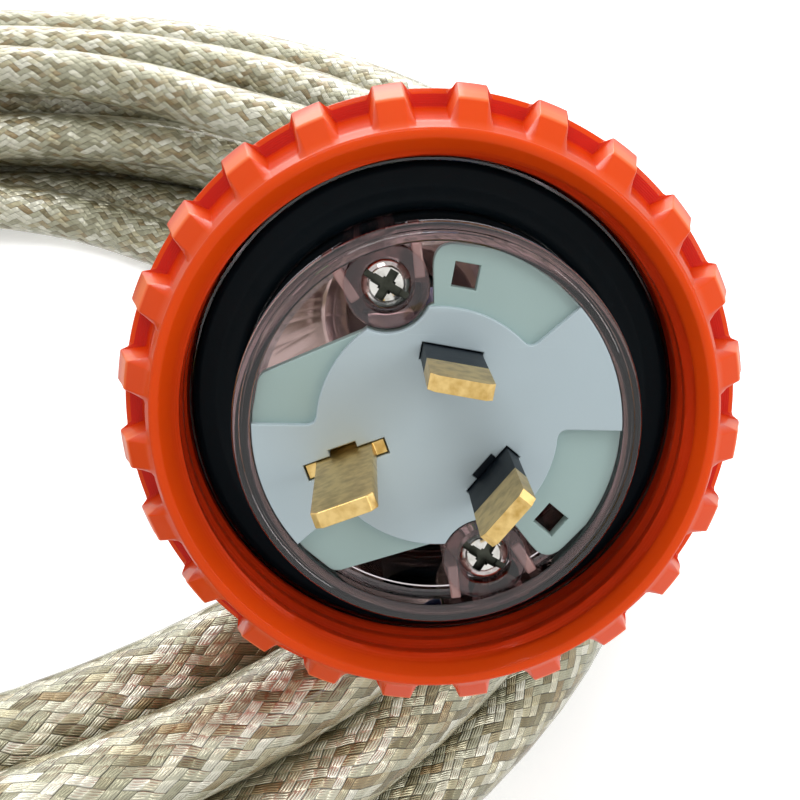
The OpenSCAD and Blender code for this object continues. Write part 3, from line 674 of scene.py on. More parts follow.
def cut_and_join(
    base: Mesh,
    adds: Sequence[Mesh] = (),
    cuts: Sequence[Mesh] = (),
) -> Mesh:
    """Add solids to a base and cut others from it.

    Args:
        base: The mesh to start from.
        adds: Closed meshes to join to it.
        cuts: Closed meshes to cut from it afterwards.

    Returns:
        The new mesh.
    """
    holder = linked("working", base)
    tools = []
    for operation, meshes in (("UNION", adds), ("DIFFERENCE", cuts)):
        for mesh in meshes:
            tool = linked("tool", mesh)
            step = holder.modifiers.new(operation, "BOOLEAN")
            step.operation = operation
            step.solver = "EXACT"
            step.object = tool
            tools.append(tool)
    graph = bpy.context.evaluated_depsgraph_get()
    result = bpy.data.meshes.new_from_object(holder.evaluated_get(graph))
    for obj in [holder, *tools]:
        bpy.data.objects.remove(obj)
    return result


def round_corners(
    points: Sequence[Corner], steps: int = 6
) -> list[Point]:
    """Round a polygon's corners.

    Args:
        points: The corners as (x, y, corner radius).
        steps: Facets in each rounded corner.

    Returns:
        The rounded outline.
    """
    outline: list[Point] = []
    count = len(points)
    for i, (x, y, radius) in enumerate(points):
        here = Vector((x, y))
        if radius <= 0:
            outline.append((x, y))
            continue
        before = (Vector(points[i - 1][:2]) - here).normalized()
        after = (Vector(points[(i + 1) % count][:2]) - here).normalized()
        half = before.angle(after) / 2
        reach = radius / math.tan(half)
        a, b = here + before * reach, here + after * reach
        for k in range(steps + 1):
            t = k / steps
            p = a * (1 - t) ** 2 + here * 2 * t * (1 - t) + b * t * t
            outline.append((p.x, p.y))
    return outline


def moulded_plate(
    outline: Sequence[Point],
    holes: Sequence[Sequence[Point]],
    top: float,
    bottom: float,
    edge: float,
) -> Mesh:
    """A flat plate with rounded edges, in millimetres.

    Args:
        outline: The plate's outline.
        holes: The outlines of its holes.
        top: Height of its face.
        bottom: Height of its back.
        edge: Radius of its rounded edges.

    Returns:
        The mesh.
    """
    curve = bpy.data.curves.new("plate", "CURVE")
    curve.dimensions = "2D"
    curve.fill_mode = "BOTH"
    curve.extrude = (top - bottom) / 2 - edge
    curve.bevel_depth = edge
    curve.bevel_resolution = 2
    curve.offset = -edge
    for loop in (outline, *holes):
        spline = curve.splines.new("POLY")
        spline.points.add(len(loop) - 1)
        for point, (x, y) in zip(spline.points, loop):
            point.co = (x, y, 0, 1)
        spline.use_cyclic_u = True
    obj = linked("plate", curve)
    graph = bpy.context.evaluated_depsgraph_get()
    mesh = bpy.data.meshes.new_from_object(obj.evaluated_get(graph))
    bpy.data.objects.remove(obj)
    with editing(mesh) as work:
        bmesh.ops.remove_doubles(work, verts=work.verts, dist=1e-4)
        bmesh.ops.recalc_face_normals(work, faces=work.faces)
    return moved(mesh, Matrix.Translation((0, 0, (top + bottom) / 2)))


def about_z(degrees: float) -> Matrix:
    """A turn about Z."""
    return Matrix.Rotation(math.radians(degrees), 4, "Z")


def plug_piece(
    name: str, mesh: Mesh, key: str, node: str, sharp: float = 32.0
) -> Piece:
    """Stand a mesh made in the plug's own frame, in millimetres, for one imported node.

    Args:
        name: The piece's name.
        mesh: The mesh, with Z out of the pin face.
        key: The finish's key.
        node: The node that it stands for.
        sharp: Edges sharper than this angle stay sharp.

    Returns:
        The piece.
    """
    mesh.transform(Matrix.Diagonal((MM, MM, MM, 1.0)) @ plug_matrix())
    smooth(mesh, sharp)
    obj = new_piece(name, mesh, key, Body.PLUG)
    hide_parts(node)
    return obj


@dataclass
class PlugFace:
    """Directions and sizes that the face's pieces share, in degrees and millimetres."""

    north: float = 19.0
    screw_circle_r: float = 16.0
    screw_at: tuple[float, float] = (109.0, 289.0)
    boss_r: float = 4.6
    head_seat: float = 3.6

    def at_screw(self, angle: float) -> Matrix:
        """The place of a face screw."""
        return about_z(angle) @ Matrix.Translation((self.screw_circle_r, 0, 0))


@dataclass
class ClearFrontShell(PlugFace):
    """The clear front shell: spigot, flange, screw bosses and their ribs."""

    inner_r: float = 19.9
    spigot_r: float = 22.0
    flange_r: float = 27.95
    rim_r: float = 27.65
    rim_front: float = 14.0
    gasket_rear: float = 17.6
    rear: float = 21.6
    boss_front: float = 1.0
    rib_spread: float = 13.0
    rib_t: float = 1.1
    rib_len: float = 3.8

    def build(self) -> Piece:
        """Make the shell."""
        inner, outer = self.inner_r, self.spigot_r
        shell = lathe(
            "front_shell_moulding",
            [
                (inner, -0.25), (inner + 0.07, -0.08), (inner + 0.25, 0.0), (inner + 0.9, 0.0),
                (inner + 1.0, -0.06), (inner + 1.2, -0.06), (inner + 1.3, 0.0),
                (outer - 0.5, 0.0), (outer - 0.2, -0.1), (outer - 0.05, -0.28), (outer, -0.5),
                (outer, -self.gasket_rear), (self.rim_r, -self.gasket_rear),
                (self.rim_r, -self.rim_front), (self.flange_r, -self.rim_front),
                (self.flange_r, -self.rear + 0.2),
                (self.flange_r - 0.2, -self.rear), (inner, -self.rear),
                (inner, -4.5), (inner - 0.7, -4.45), (inner - 0.7, -3.05), (inner, -3.0),
            ],
            192,
        )
        adds, cuts, ribs = [], [], []
        for angle in self.screw_at:
            place = self.at_screw(angle)
            r, front = self.boss_r, -self.boss_front
            boss = lathe(
                "boss",
                [(0, front), (r - 0.35, front), (r - 0.1, front - 0.1), (r, front - 0.35),
                 (r, -self.rear), (0, -self.rear)],
                96,
            )
            adds.append(moved(boss, place))
            for side in (-1, 1):
                height = self.rear - self.boss_front - 0.3
                ribs.append(block(
                    (self.rib_len, self.rib_t, height),
                    about_z(angle + side * self.rib_spread)
                    @ Matrix.Translation((
                        self.screw_circle_r + self.rib_len / 2, 0, -self.rear + height / 2)),
                ))
            bore = [(0, 1), (2.95, 1), (2.95, -self.head_seat), (1.6, -self.head_seat),
                    (1.6, -self.rear - 1), (0, -self.rear - 1)]
            cuts.append(moved(lathe("bore", bore, 64), place))
        rib_set = plug_piece(
            "front_shell_ribs", joined("front_shell_ribs", ribs), "milky", "front_shell", 28
        )
        ease(rib_set, 0.2)
        mesh = cut_and_join(shell, adds, cuts)
        return plug_piece("front_shell_moulding", mesh, "clear", "front_shell", 28)


@dataclass
class PinCarrier(PlugFace):
    """The pale carrier: a plate with lowered windows, and a raised hub with two wings."""

    outer_r: float = 19.85
    hub_r: float = 13.0
    wing_half: float = 21.0
    raise_h: float = 1.0
    plate_t: float = 3.0
    slot_gap: float = 0.12
    tool_hole: float = 2.7
    pin_circle_r: float = 7.92
    earth_circle_r: float = 10.31
    pin_half_w: float = 3.175
    pin_half_t: float = 0.815
    earth_half_w: float = 4.5
    key_half_w: float = 1.55
    key_depth: float = 0.8
    live_turns: tuple[float, float] = (60.0, -60.0)
    edge: float = 0.16
    wing_corner: float = 1.2
    wing_clear: float = 8.0
    bite_from: float = 73.0
    north_span: float = 54.0
    notch_near: float = 72.0
    notch_far: float = 108.0
    cut_towards: float = 148.0
    holder_long: float = 8.3
    holder_short: float = 7.2
    holder_deep: float = 6.0

    def polar(self, r: float, degrees: float, corner: float = 0.0) -> Corner:
        """A corner at this radius and at this angle from the north direction."""
        return polar(r, self.north + degrees, corner)

    def arc(self, r: float, start: float, end: float, step: float = 3.0) -> list[Corner]:
        """Points along an arc about the centre."""
        count = max(1, round(abs(end - start) / step))
        return [self.polar(r, start + (end - start) * i / count) for i in range(count + 1)]

    def bite(self, side: int, steps: int = 16) -> list[Corner]:
        """The hub's edge where it makes room for a screw boss."""
        r, to_screw = self.boss_r + 0.3, self.screw_circle_r
        half = math.degrees(math.acos((to_screw**2 + r**2 - self.hub_r**2) / (2 * to_screw * r)))
        x, y, _ = self.polar(to_screw, 90 * side)
        points = []
        for i in range(steps + 1):
            dx, dy, _ = self.polar(r, 90 * side + 180 + (half - 2 * half * i / steps))
            points.append((x + dx, y + dy, 0.0))
        return points

    def slots(self) -> list[list[Point]]:
        """The three pin slots with their keying notches."""
        c, gap, k = self.pin_circle_r, self.slot_gap, self.key_half_w
        w, t, notch = self.pin_half_w + gap, self.pin_half_t + gap, self.pin_half_t + self.key_depth
        live = [(c - t, -w), (c + t, -w), (c + t, w), (c - t, w),
                (c - t, k), (c - notch, k), (c - notch, -k), (c - t, -k)]
        c, w = self.earth_circle_r, self.earth_half_w + gap
        earth = [(c - w, -t), (c - k, -t), (c - k, -notch), (c + k, -notch),
                 (c + k, -t), (c + w, -t), (c + w, t), (c - w, t)]
        loops = [self.turned(live, self.north + turn) for turn in self.live_turns]
        return loops + [self.turned(earth, self.north + 180)]

    @staticmethod
    def turned(loop: Sequence[Point], degrees: float) -> list[Point]:
        """Turn a loop about the centre."""
        c, s = math.cos(math.radians(degrees)), math.sin(math.radians(degrees))
        return [(x * c - y * s, x * s + y * c) for x, y in loop]

    def raised(self) -> list[Point]:
        """The outline of the hub and its wings."""
        w, hub, corner, clear = self.wing_half, self.hub_r, self.wing_corner, self.wing_clear
        points: list[Corner] = []
        for side, boss in ((0, 1), (180, -1)):
            points += self.arc(self.outer_r, side - w, side + w)
            points += [self.polar(hub, side + w, corner)]
            points += self.arc(hub, side + w + clear, side + self.bite_from)
            points += self.bite(boss)
            points += self.arc(hub, side + 180 - self.bite_from, side + 180 - w - clear)
            points += [self.polar(hub, side + 180 - w, corner)]
        return round_corners(points)

    def lower(self) -> list[Point]:
        """The outline of the whole plate, which is cut straight beyond each screw boss."""
        r, hub, near, far = self.outer_r, self.hub_r, self.notch_near, self.notch_far
        start = Vector(self.polar(hub, far)[:2])
        end = Vector(self.polar(r + 2, self.cut_towards)[:2])
        low, high = 0.0, 1.0
        for _ in range(40):
            middle = (low + high) / 2
            if start.lerp(end, middle).length < r:
                low = middle
            else:
                high = middle
        edge = start.lerp(end, low)
        angle = math.degrees(math.atan2(edge.y, edge.x)) - self.north
        span = self.north_span
        points = self.arc(r, -span, span, 4)
        points += [self.polar(r, near, 2.4), self.polar(hub + 0.2, near), *self.bite(1)]
        points += [self.polar(hub, far), self.polar(r, angle, 1.6)]
        points += self.arc(r, angle + 12, 360 - angle - 12, 4)
        points += [self.polar(r, -angle, 1.6), self.polar(hub, -far), *self.bite(-1)]
        points += [self.polar(hub + 0.2, -near), self.polar(r, -near, 2.4)]
        return round_corners(points)

    def build(self) -> Piece:
        """Make the carrier, with the three holders behind its plate."""
        slots, name = self.slots(), "pin_carrier_moulding"
        q, c = self.tool_hole / 2, self.screw_circle_r + 0.4
        square = [(c - q, -q), (c + q, -q), (c + q, q), (c - q, q)]
        holes = slots + [self.turned(square, self.north + turn) for turn in self.live_turns]
        hub = moulded_plate(self.raised(), slots, 0.0, -self.raise_h - 0.5, self.edge)
        for polygon in hub.polygons:
            polygon.material_index = 1
        parts = [
            moulded_plate(self.lower(), holes, -self.raise_h, -self.plate_t, self.edge), hub,
        ]
        short, long, deep = self.holder_short, self.holder_long, self.holder_deep
        for turn, radius, along, across in (
            (self.live_turns[0], self.pin_circle_r, short, long),
            (self.live_turns[1], self.pin_circle_r, short, long),
            (180.0, self.earth_circle_r, long, short),
        ):
            place = about_z(self.north + turn) @ Matrix.Translation((radius, 0, -deep))
            parts.append(block((along, across, deep), place))
        obj = plug_piece(name, joined(name, parts), "window", "pin_carrier", 40)
        obj.data.materials.append(finish("nylon"))
        self.keys()
        level = obj.modifiers.new("flat faces", "WEIGHTED_NORMAL")
        level.weight = 100
        level.keep_sharp = True
        return obj

    def keys(self) -> None:
        """The black keys of the two sleeves, which fill the notches of their slots."""
        face = self.pin_circle_r - self.pin_half_t
        near, far, k = face - self.key_depth + 0.02, face - 0.02, self.key_half_w - 0.05
        outline = [(near, -k), (far, -k), (far, k), (near, k)]
        for name, turn in zip(("active", "neutral"), self.live_turns):
            mesh = moulded_plate(self.turned(outline, self.north + turn), (), -0.2, -2.6, 0.06)
            plug_piece(f"{name}_sleeve_key", mesh, "sleeve", f"{name}_sleeve", 40)


@dataclass
class FaceScrews(PlugFace):
    """The two pan-head screws, each with a slot and a cross."""

    head_r: float = 2.7
    shank_r: float = 1.5
    head_top: float = 1.9
    tip: float = 32.0

    def screw(self) -> Mesh:
        """One screw, with its head up."""
        top, seat, r = -self.head_top, -self.head_seat, self.head_r
        body = lathe(
            "screw",
            [(0, top), (0.8, top - 0.02), (1.5, top - 0.12), (2.05, top - 0.32),
             (2.45, top - 0.62), (r - 0.04, top - 0.98), (r, top - 1.2), (r - 0.05, seat),
             (self.shank_r, seat), (self.shank_r, -self.tip), (0, -self.tip)],
            72,
        )
        low = top - 1.0
        slot = block((2 * r + 1, 0.75, 2.0), Matrix.Translation((0, 0, low + 1.0)))
        cross = block((3.5, 1.0, 2.0), about_z(90) @ Matrix.Translation((0, 0, low + 0.5)))
        along = block((3.5, 1.0, 2.0), Matrix.Translation((0, 0, low + 0.5)))
        centre = lathe("centre", [(0, top + 0.5), (1.35, top + 0.5), (0.35, top - 1.3),
                                  (0, top - 1.3)], 4)
        mesh = cut_and_join(body, (), (slot, cross, along, moved(centre, about_z(45))))
        # Faces down in the slot and cross take the dark steel: painted shade in the recess.
        for polygon in mesh.polygons:
            x, y, z = polygon.center
            crown = top - 0.1 * (x * x + y * y)
            if math.hypot(x, y) < r - 0.2 and seat + 0.05 < z < crown - 0.12:
                polygon.material_index = 1
        return mesh

    def build(self) -> Piece:
        """Make both screws as one piece."""
        both = [
            moved(self.screw(), self.at_screw(angle) @ about_z(40)) for angle in self.screw_at
        ]
        obj = plug_piece("face_screw_pair", joined("face_screw_pair", both), "steel",
                         "face_screws", 40)
        # The second material is painted shade down in the recess.
        obj.data.materials.append(finish("recess"))
        ease(obj, 0.07, 40)
        return obj


# --- the screw ring


@dataclass
class ScrewRing:
    """The castellated ring: lip, drafted teeth, striated rim, skirt, flange and thread."""

    lip_back: float = 4.7
    length: float = 28.0
    lip_r: float = 31.5
    teeth: int = 24
    crest_r: float = 34.8
    teeth_r: float = 36.3
    rim_r: float = 35.5
    crest_back: float = 4.1
    teeth_len: float = 9.8
    rim_len: float = 3.0
    floor_front_r: float = 31.7
    floor_rear_r: float = 33.2
    skirt_r: float = 33.5
    striations: int = 5
    striation_pitch: float = 0.45
    striation_depth: float = 0.09
    bore_r: float = 28.3
    root_r: float = 29.3
    bore_rear: float = 21.5
    bore_front: float = 1.9
    bore_rows: int = 84
    thread_pitch: float = 4.0
    thread_rear: float = 17.4
    groove_half: float = 0.34
    groove_flank: float = 0.22
    flange_bore_r: float = 24.4
    flange_len: float = 3.0
    columns_deg: tuple[float, ...] = (
        0.0, 1.25, 2.35, 2.55, 2.66, 2.8, 3.5, 4.15, 4.27, 4.4, 4.7, 6.2,
    )
    shoulder: tuple[Point, ...] = (
        (0.0, 1.0), (2.55, 1.0), (2.66, 0.985), (2.8, 0.93), (4.15, 0.06), (4.27, 0.015),
        (4.4, 0.0), (7.5, 0.0),
    )

    def tooth_weight(self, angle: float) -> float:
        """How much of the tooth stands at this angle from its middle, from 0 to 1."""
        a = abs(angle)
        for (a0, w0), (a1, w1) in zip(self.shoulder, self.shoulder[1:]):
            if a <= a1:
                return w0 + (w1 - w0) * (a - a0) / (a1 - a0)
        return 0.0

    def floor(self, back: float) -> float:
        """The pocket floor's radius at a distance behind the lip."""
        rise = self.floor_rear_r - self.floor_front_r
        return self.floor_front_r + rise * back / self.teeth_len

    def outer(self, weight: float) -> list[Point]:
        """The outside profile, from the lip back, as (distance behind the lip, radius).

        Args:
            weight: 1 on a tooth, 0 in a pocket.

        Returns:
            The points of the profile, always the same number.
        """
        lip, crest, top, rim = self.lip_r, self.crest_r, self.teeth_r, self.rim_r
        lead, rear, floor = self.crest_back, self.teeth_len, self.floor
        tooth = [
            (0.55, lip), (0.75, lip + 0.05), (1.6, lip + 0.9), (lead - 0.45, crest - 0.42),
            (lead - 0.12, crest - 0.12), (lead + 0.3, crest + 0.03), (6.5, crest + 0.55),
            (rear - 0.6, top - 0.12), (rear - 0.1, top - 0.02), (rear + 0.05, top),
            (rear + 0.2, top - 0.1), (rear + 0.35, rim + 0.05),
        ]
        pocket = [
            (0.55, lip), (0.85, lip + 0.03), (1.6, floor(1.6)), (lead - 0.45, floor(lead)),
            (lead, floor(lead)), (5.2, floor(5.2)), (7.2, floor(7.2)),
            (rear - 0.5, floor(rear) - 0.02), (rear - 0.05, floor(rear) + 0.35),
            (rear, rim - 0.65), (rear + 0.03, rim - 0.55), (rear + 0.35, rim - 0.05),
        ]
        return [
            (p[0] + (t[0] - p[0]) * weight, p[1] + (t[1] - p[1]) * weight)
            for t, p in zip(tooth, pocket)
        ]

    def rim_and_skirt(self) -> list[Point]:
        """The profile from the rim to the inward flange."""
        rim, skirt, end = self.rim_r, self.skirt_r, self.length
        rim_rear, flange_r = self.teeth_len + self.rim_len, self.flange_bore_r
        flange = end - self.flange_len
        lines: list[Point] = []
        for k in range(self.striations):
            back = self.teeth_len + 0.55 + self.striation_pitch * k
            lines += [(back, rim), (back + 0.12, rim - self.striation_depth), (back + 0.24, rim)]
        return lines + [
            (rim_rear - 0.12, rim - 0.1), (rim_rear, rim - 0.5), (rim_rear, skirt + 0.3),
            (rim_rear + 0.3, skirt), (20.0, skirt), (end - 0.8, skirt), (end - 0.2, skirt - 0.25),
            (end, skirt - 0.9), (end, flange_r + 0.4), (end - 0.3, flange_r),
            (flange + 0.2, flange_r), (flange, flange_r + 0.2), (flange, self.bore_r - 0.3),
            (flange - 0.3, self.bore_r),
        ]

    def bore(self, angle: float) -> list[Point]:
        """The threaded bore's profile at an angle in degrees, from the flange to the lip."""
        points, root = [], self.root_r
        for k in range(self.bore_rows + 1):
            back = self.bore_rear + (self.bore_front - self.bore_rear) * k / self.bore_rows
            phase = (back / self.thread_pitch - angle / 360) % 1.0
            flank = (self.groove_half - abs(phase - 0.5)) / self.groove_flank
            fade = min(1.0, max(0.0, (self.thread_rear - back) / 1.5))
            groove = max(0.0, min(1.0, flank))
            points.append((back, self.bore_r + (root - self.bore_r) * groove * fade))
        return points + [
            (1.5, root - 0.2), (1.0, root + 0.05), (0.45, root + 0.75), (0.12, root + 0.95),
            (0.0, root + 1.15), (0.0, self.lip_r - 0.5), (0.08, self.lip_r - 0.25),
            (0.28, self.lip_r - 0.06),
        ]

    def build(self) -> Piece:
        """Make the ring as one closed mesh, and note where it takes painted shade and a painted
        highlight.
        """
        place, step = plug_matrix(), 360 / self.teeth
        rows: list[list[Vector]] = []
        notes: dict[str, list[float]] = {"depth": [], "crest": [], "radius": []}
        across = [-a for a in reversed(self.columns_deg[1:])] + list(self.columns_deg)
        columns = [(i, a) for i in range(self.teeth) for a in [-step / 2] + across]
        for tooth, angle in columns:
            turn = (tooth + 0.5) * step + angle
            weight = self.tooth_weight(angle)
            shell = self.outer(weight) + self.rim_and_skirt()
            profile = shell + self.bore(turn)
            rows.append([
                place @ Vector(polar(r, turn, -self.lip_back - back)) for back, r in profile
            ])
            for k, (back, r) in enumerate(profile):
                # Painted shade: redder at the pocket walls, and more so further down the bore.
                deep = 0.0
                if 3 <= k <= 9:
                    deep = (1 - weight) * (0.12 if k < 8 else 0.9)
                elif k >= len(shell):
                    deep = min(0.5, max(0.0, (back - 0.8) / 3.0))
                notes["depth"].append(deep)
                # Painted highlight: paler on the tooth crests, and a little on the lip's front
                # edge.
                notes["crest"].append(weight if 4 <= k <= 6 else (0.15 if k < 2 else 0.0))
                notes["radius"].append(r)
        mesh = grid_mesh("screw_ring_moulding", rows, True, True)
        for name, values in notes.items():
            mesh.attributes.new(name, "FLOAT", "POINT").data.foreach_set("value", values)
        face_outwards(mesh)
        smooth(mesh, 38)
        obj = new_piece("screw_ring_moulding", mesh, "orange", Body.RING)
        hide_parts("screw_ring")
        return obj


# --- the face gasket


@dataclass
class FaceGasket:
    """The black sealing ring, with a raised bead round its face."""

    inner_r: float = 22.1
    outer_r: float = 27.6
    front: float = 14.1
    rear: float = 17.6
    facets: int = 120

    def build(self) -> Piece:
        """Make the gasket as one turned mesh."""
        inner, outer, front = self.inner_r, self.outer_r, -self.front
        profile = [
            (inner, -self.rear), (inner, front - 0.4), (inner + 0.35, front - 0.08),
            (inner + 1.2, front - 0.05), (24.1, front - 0.1), (24.5, front), (25.1, front),
            (25.5, front - 0.1), (outer - 0.9, front - 0.05), (outer - 0.3, front - 0.12),
            (outer, front - 0.5), (outer, -self.rear),
        ]
        place = plug_matrix()
        rows = []
        for k in range(self.facets):
            a = 2 * math.pi * k / self.facets
            rows.append([place @ Vector((r * math.cos(a), r * math.sin(a), z)) for r, z in profile])
        mesh = grid_mesh("face_gasket_bead", rows, True, True)
        face_outwards(mesh)
        smooth(mesh, 50)
        obj = new_piece("face_gasket_bead", mesh, "rubber", Body.PLUG)
        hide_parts("face_gasket")
        return obj


# --- the cord


@dataclass
class BraidedCord:
    """The whole free cord: out of the plug's gland, round the coil, and to the connector."""

    diameter: float = 13.0
    coil_r: float = 129.0
    turn_pitch: float = 13.5
    layer_turns: float = 2.38
    layer_inset: float = 5.0
    layers: int = 4
    start_deg: float = 54.0
    centre: tuple[float, float] = (-116.2, 132.0)
    lead_reach: float = 36.0
    ease_turns: float = 0.2
    ease_depth: float = 9.0
    sides: int = 24
    per_turn: int = 96
    plug_exit_back: float = 99.7
    turn_deg: float = 126.0
    turn_r: float = 60.0
    bend_steps: int = 32
    connector_tilt: float = 3.7229
    connector_exit: tuple[float, float, float] = (-167.743, 174.853, -77.183)

    @property
    def table(self) -> float:
        """The height of the table."""
        return -FACE_HEIGHT

    @property
    def starts(self) -> tuple[float, float, float, float, float]:
        """The turn at which each layer starts, and the turn at which the last one ends."""
        turns, more = self.layer_turns, self.layer_inset / self.turn_pitch
        return (0.0, turns, 2 * turns + more, 3 * turns + 2 * more, 4 * turns + 4 * more)

    @property
    def turns(self) -> float:
        """The turns in the whole coil, to the nearest 24th."""
        return round(self.starts[-1] * 24) / 24

    def layer(self, t: float) -> int:
        """The layer of the coil after t turns."""
        return sum(t >= start for start in self.starts[1:-1])

    def coil_point(self, t: float) -> Vector:
        """The coil's centreline after t turns."""
        k = self.layer(t)
        u = t - self.starts[k]
        total = self.starts[-1]
        inward = self.ease_depth * (
            max(0.0, 1 - t / self.ease_turns) ** 2
            + min(1.0, max(0.0, 1 - (total - t) / self.ease_turns)) ** 2
        )
        if k % 2 == 0:
            out = self.turn_pitch * u - (self.layer_inset if k == 2 else 0.0)
        else:
            out = self.turn_pitch * (self.layer_turns - u)
        r = self.coil_r + out - inward
        down = sum(max(0.0, min(1.0, (t - start + 0.25) * 2)) for start in self.starts[1:-1])
        low = self.table + self.diameter / 2
        high = self.table + 0.4 * self.diameter + 3 * self.turn_pitch
        z = high + (low - high) * down / (self.layers - 1)
        x, y, _ = polar(r, self.start_deg + 360 * t)
        return Vector((self.centre[0] + x, self.centre[1] + y, z))

    @staticmethod
    def bezier(
        a: Vector, da: Vector, b: Vector, db: Vector, reach: float, steps: int
    ) -> list[Vector]:
        """Points on a smooth bend from a, heading da, to b, heading db."""
        points = []
        for i in range(steps + 1):
            t, u = i / steps, 1 - i / steps
            near = a * u**3 + (a + da * reach) * 3 * u * u * t
            points.append(near + (b - db * reach) * 3 * u * t * t + b * t**3)
        return points

    def path(self) -> list[Vector]:
        """The whole centreline, in millimetres."""
        wide, pitch = self.diameter, math.radians(PLUG_PITCH)
        axis = Vector((0, math.cos(pitch), -math.sin(pitch)))
        exit_point = axis * self.plug_exit_back
        coil = [self.coil_point(i / self.per_turn)
                for i in range(round(self.turns * self.per_turn) + 1)]
        start_dir = (self.coil_point(1 / 24) - self.coil_point(0)).normalized()
        end_dir = (self.coil_point(self.turns) - self.coil_point(self.turns - 1 / 24)).normalized()
        coil_in, coil_out = coil[0] - start_dir * wide, coil[-1] + end_dir * wide
        first = self.bezier(
            exit_point + axis * wide, axis, coil_in - start_dir * wide, start_dir,
            self.lead_reach, 16,
        )

        # The far lead turns back into the coil, and sinks to the connector as it goes.
        heading, turn = math.atan2(end_dir.y, end_dir.x), math.radians(self.turn_deg)
        tilt, out_heading = math.radians(self.connector_tilt), heading + turn
        far_axis = Vector((math.cos(out_heading) * math.cos(tilt),
                           math.sin(out_heading) * math.cos(tilt), math.sin(tilt)))
        rise = self.connector_exit[2] - far_axis.z * wide - coil_out.z
        inward = Vector((-math.sin(heading), math.cos(heading), 0))
        centre = coil_out + end_dir * wide + self.turn_r * inward
        bend = []
        for i in range(self.bend_steps + 1):
            f = i / self.bend_steps
            h = heading + turn * f
            bend.append(centre + Vector((self.turn_r * math.sin(h), -self.turn_r * math.cos(h),
                                         rise * f * f * (3 - 2 * f))))
        last = bend[-1] + far_axis * wide
        LOG.info("connector exit off by %.3f mm", (last - Vector(self.connector_exit)).length)
        return [exit_point] + first + [coil_in] + coil + [coil_out] + bend + [last]

    def tube(self, name: str, path: list[Vector]) -> Mesh:
        """Sweep the round sheath along a path, with its girth and length as UV in millimetres.

        Args:
            name: The mesh's name.
            path: The centreline, in millimetres.

        Returns:
            The mesh.
        """
        rows, run, r = [], [0.0], self.diameter / 2
        for a, b in zip(path, path[1:]):
            run.append(run[-1] + (b - a).length)
        for i, point in enumerate(path):
            ahead = path[min(i + 1, len(path) - 1)] - path[max(i - 1, 0)]
            ahead.normalize()
            side = ahead.cross(Vector((0, 0, 1))).normalized()
            up = side.cross(ahead)
            rows.append([
                point + side * r * math.cos(2 * math.pi * k / self.sides)
                + up * r * math.sin(2 * math.pi * k / self.sides)
                for k in range(self.sides)
            ])
        mesh = grid_mesh(name, rows, False, True)
        uv = mesh.uv_layers.new(name="along")
        girth = math.pi * self.diameter
        values: list[float] = []
        for i in range(len(rows) - 1):
            for k in range(self.sides):
                for di, dk in ((0, 0), (0, 1), (1, 1), (1, 0)):
                    values += [(k + dk) * girth / self.sides, run[i + di]]
        uv.data.foreach_set("uv", values)
        with editing(mesh) as work:
            bmesh.ops.holes_fill(work, edges=[e for e in work.edges if e.is_boundary])
            bmesh.ops.recalc_face_normals(work, faces=work.faces)
        smooth(mesh, 60)
        return mesh

    def build(self) -> Piece:
        path = self.path()
        mesh = self.tube("braided_cord_run", path)
        obj = new_piece("braided_cord_run", mesh, "braid", Body.PLUG)
        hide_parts("plug_lead", "cord_coil", "connector_lead")
        length = sum((b - a).length for a, b in zip(path, path[1:]))
        LOG.info("cord length %.1f mm", length)
        [
                n for n in bpy.data.objects
                if n.name.startswith("connector_") and n.name != "connector_lead"
                or n.name.startswith(("socket_", "contact_"))
                or "_contact" in n.name
            ]
        return obj


# --- the studio


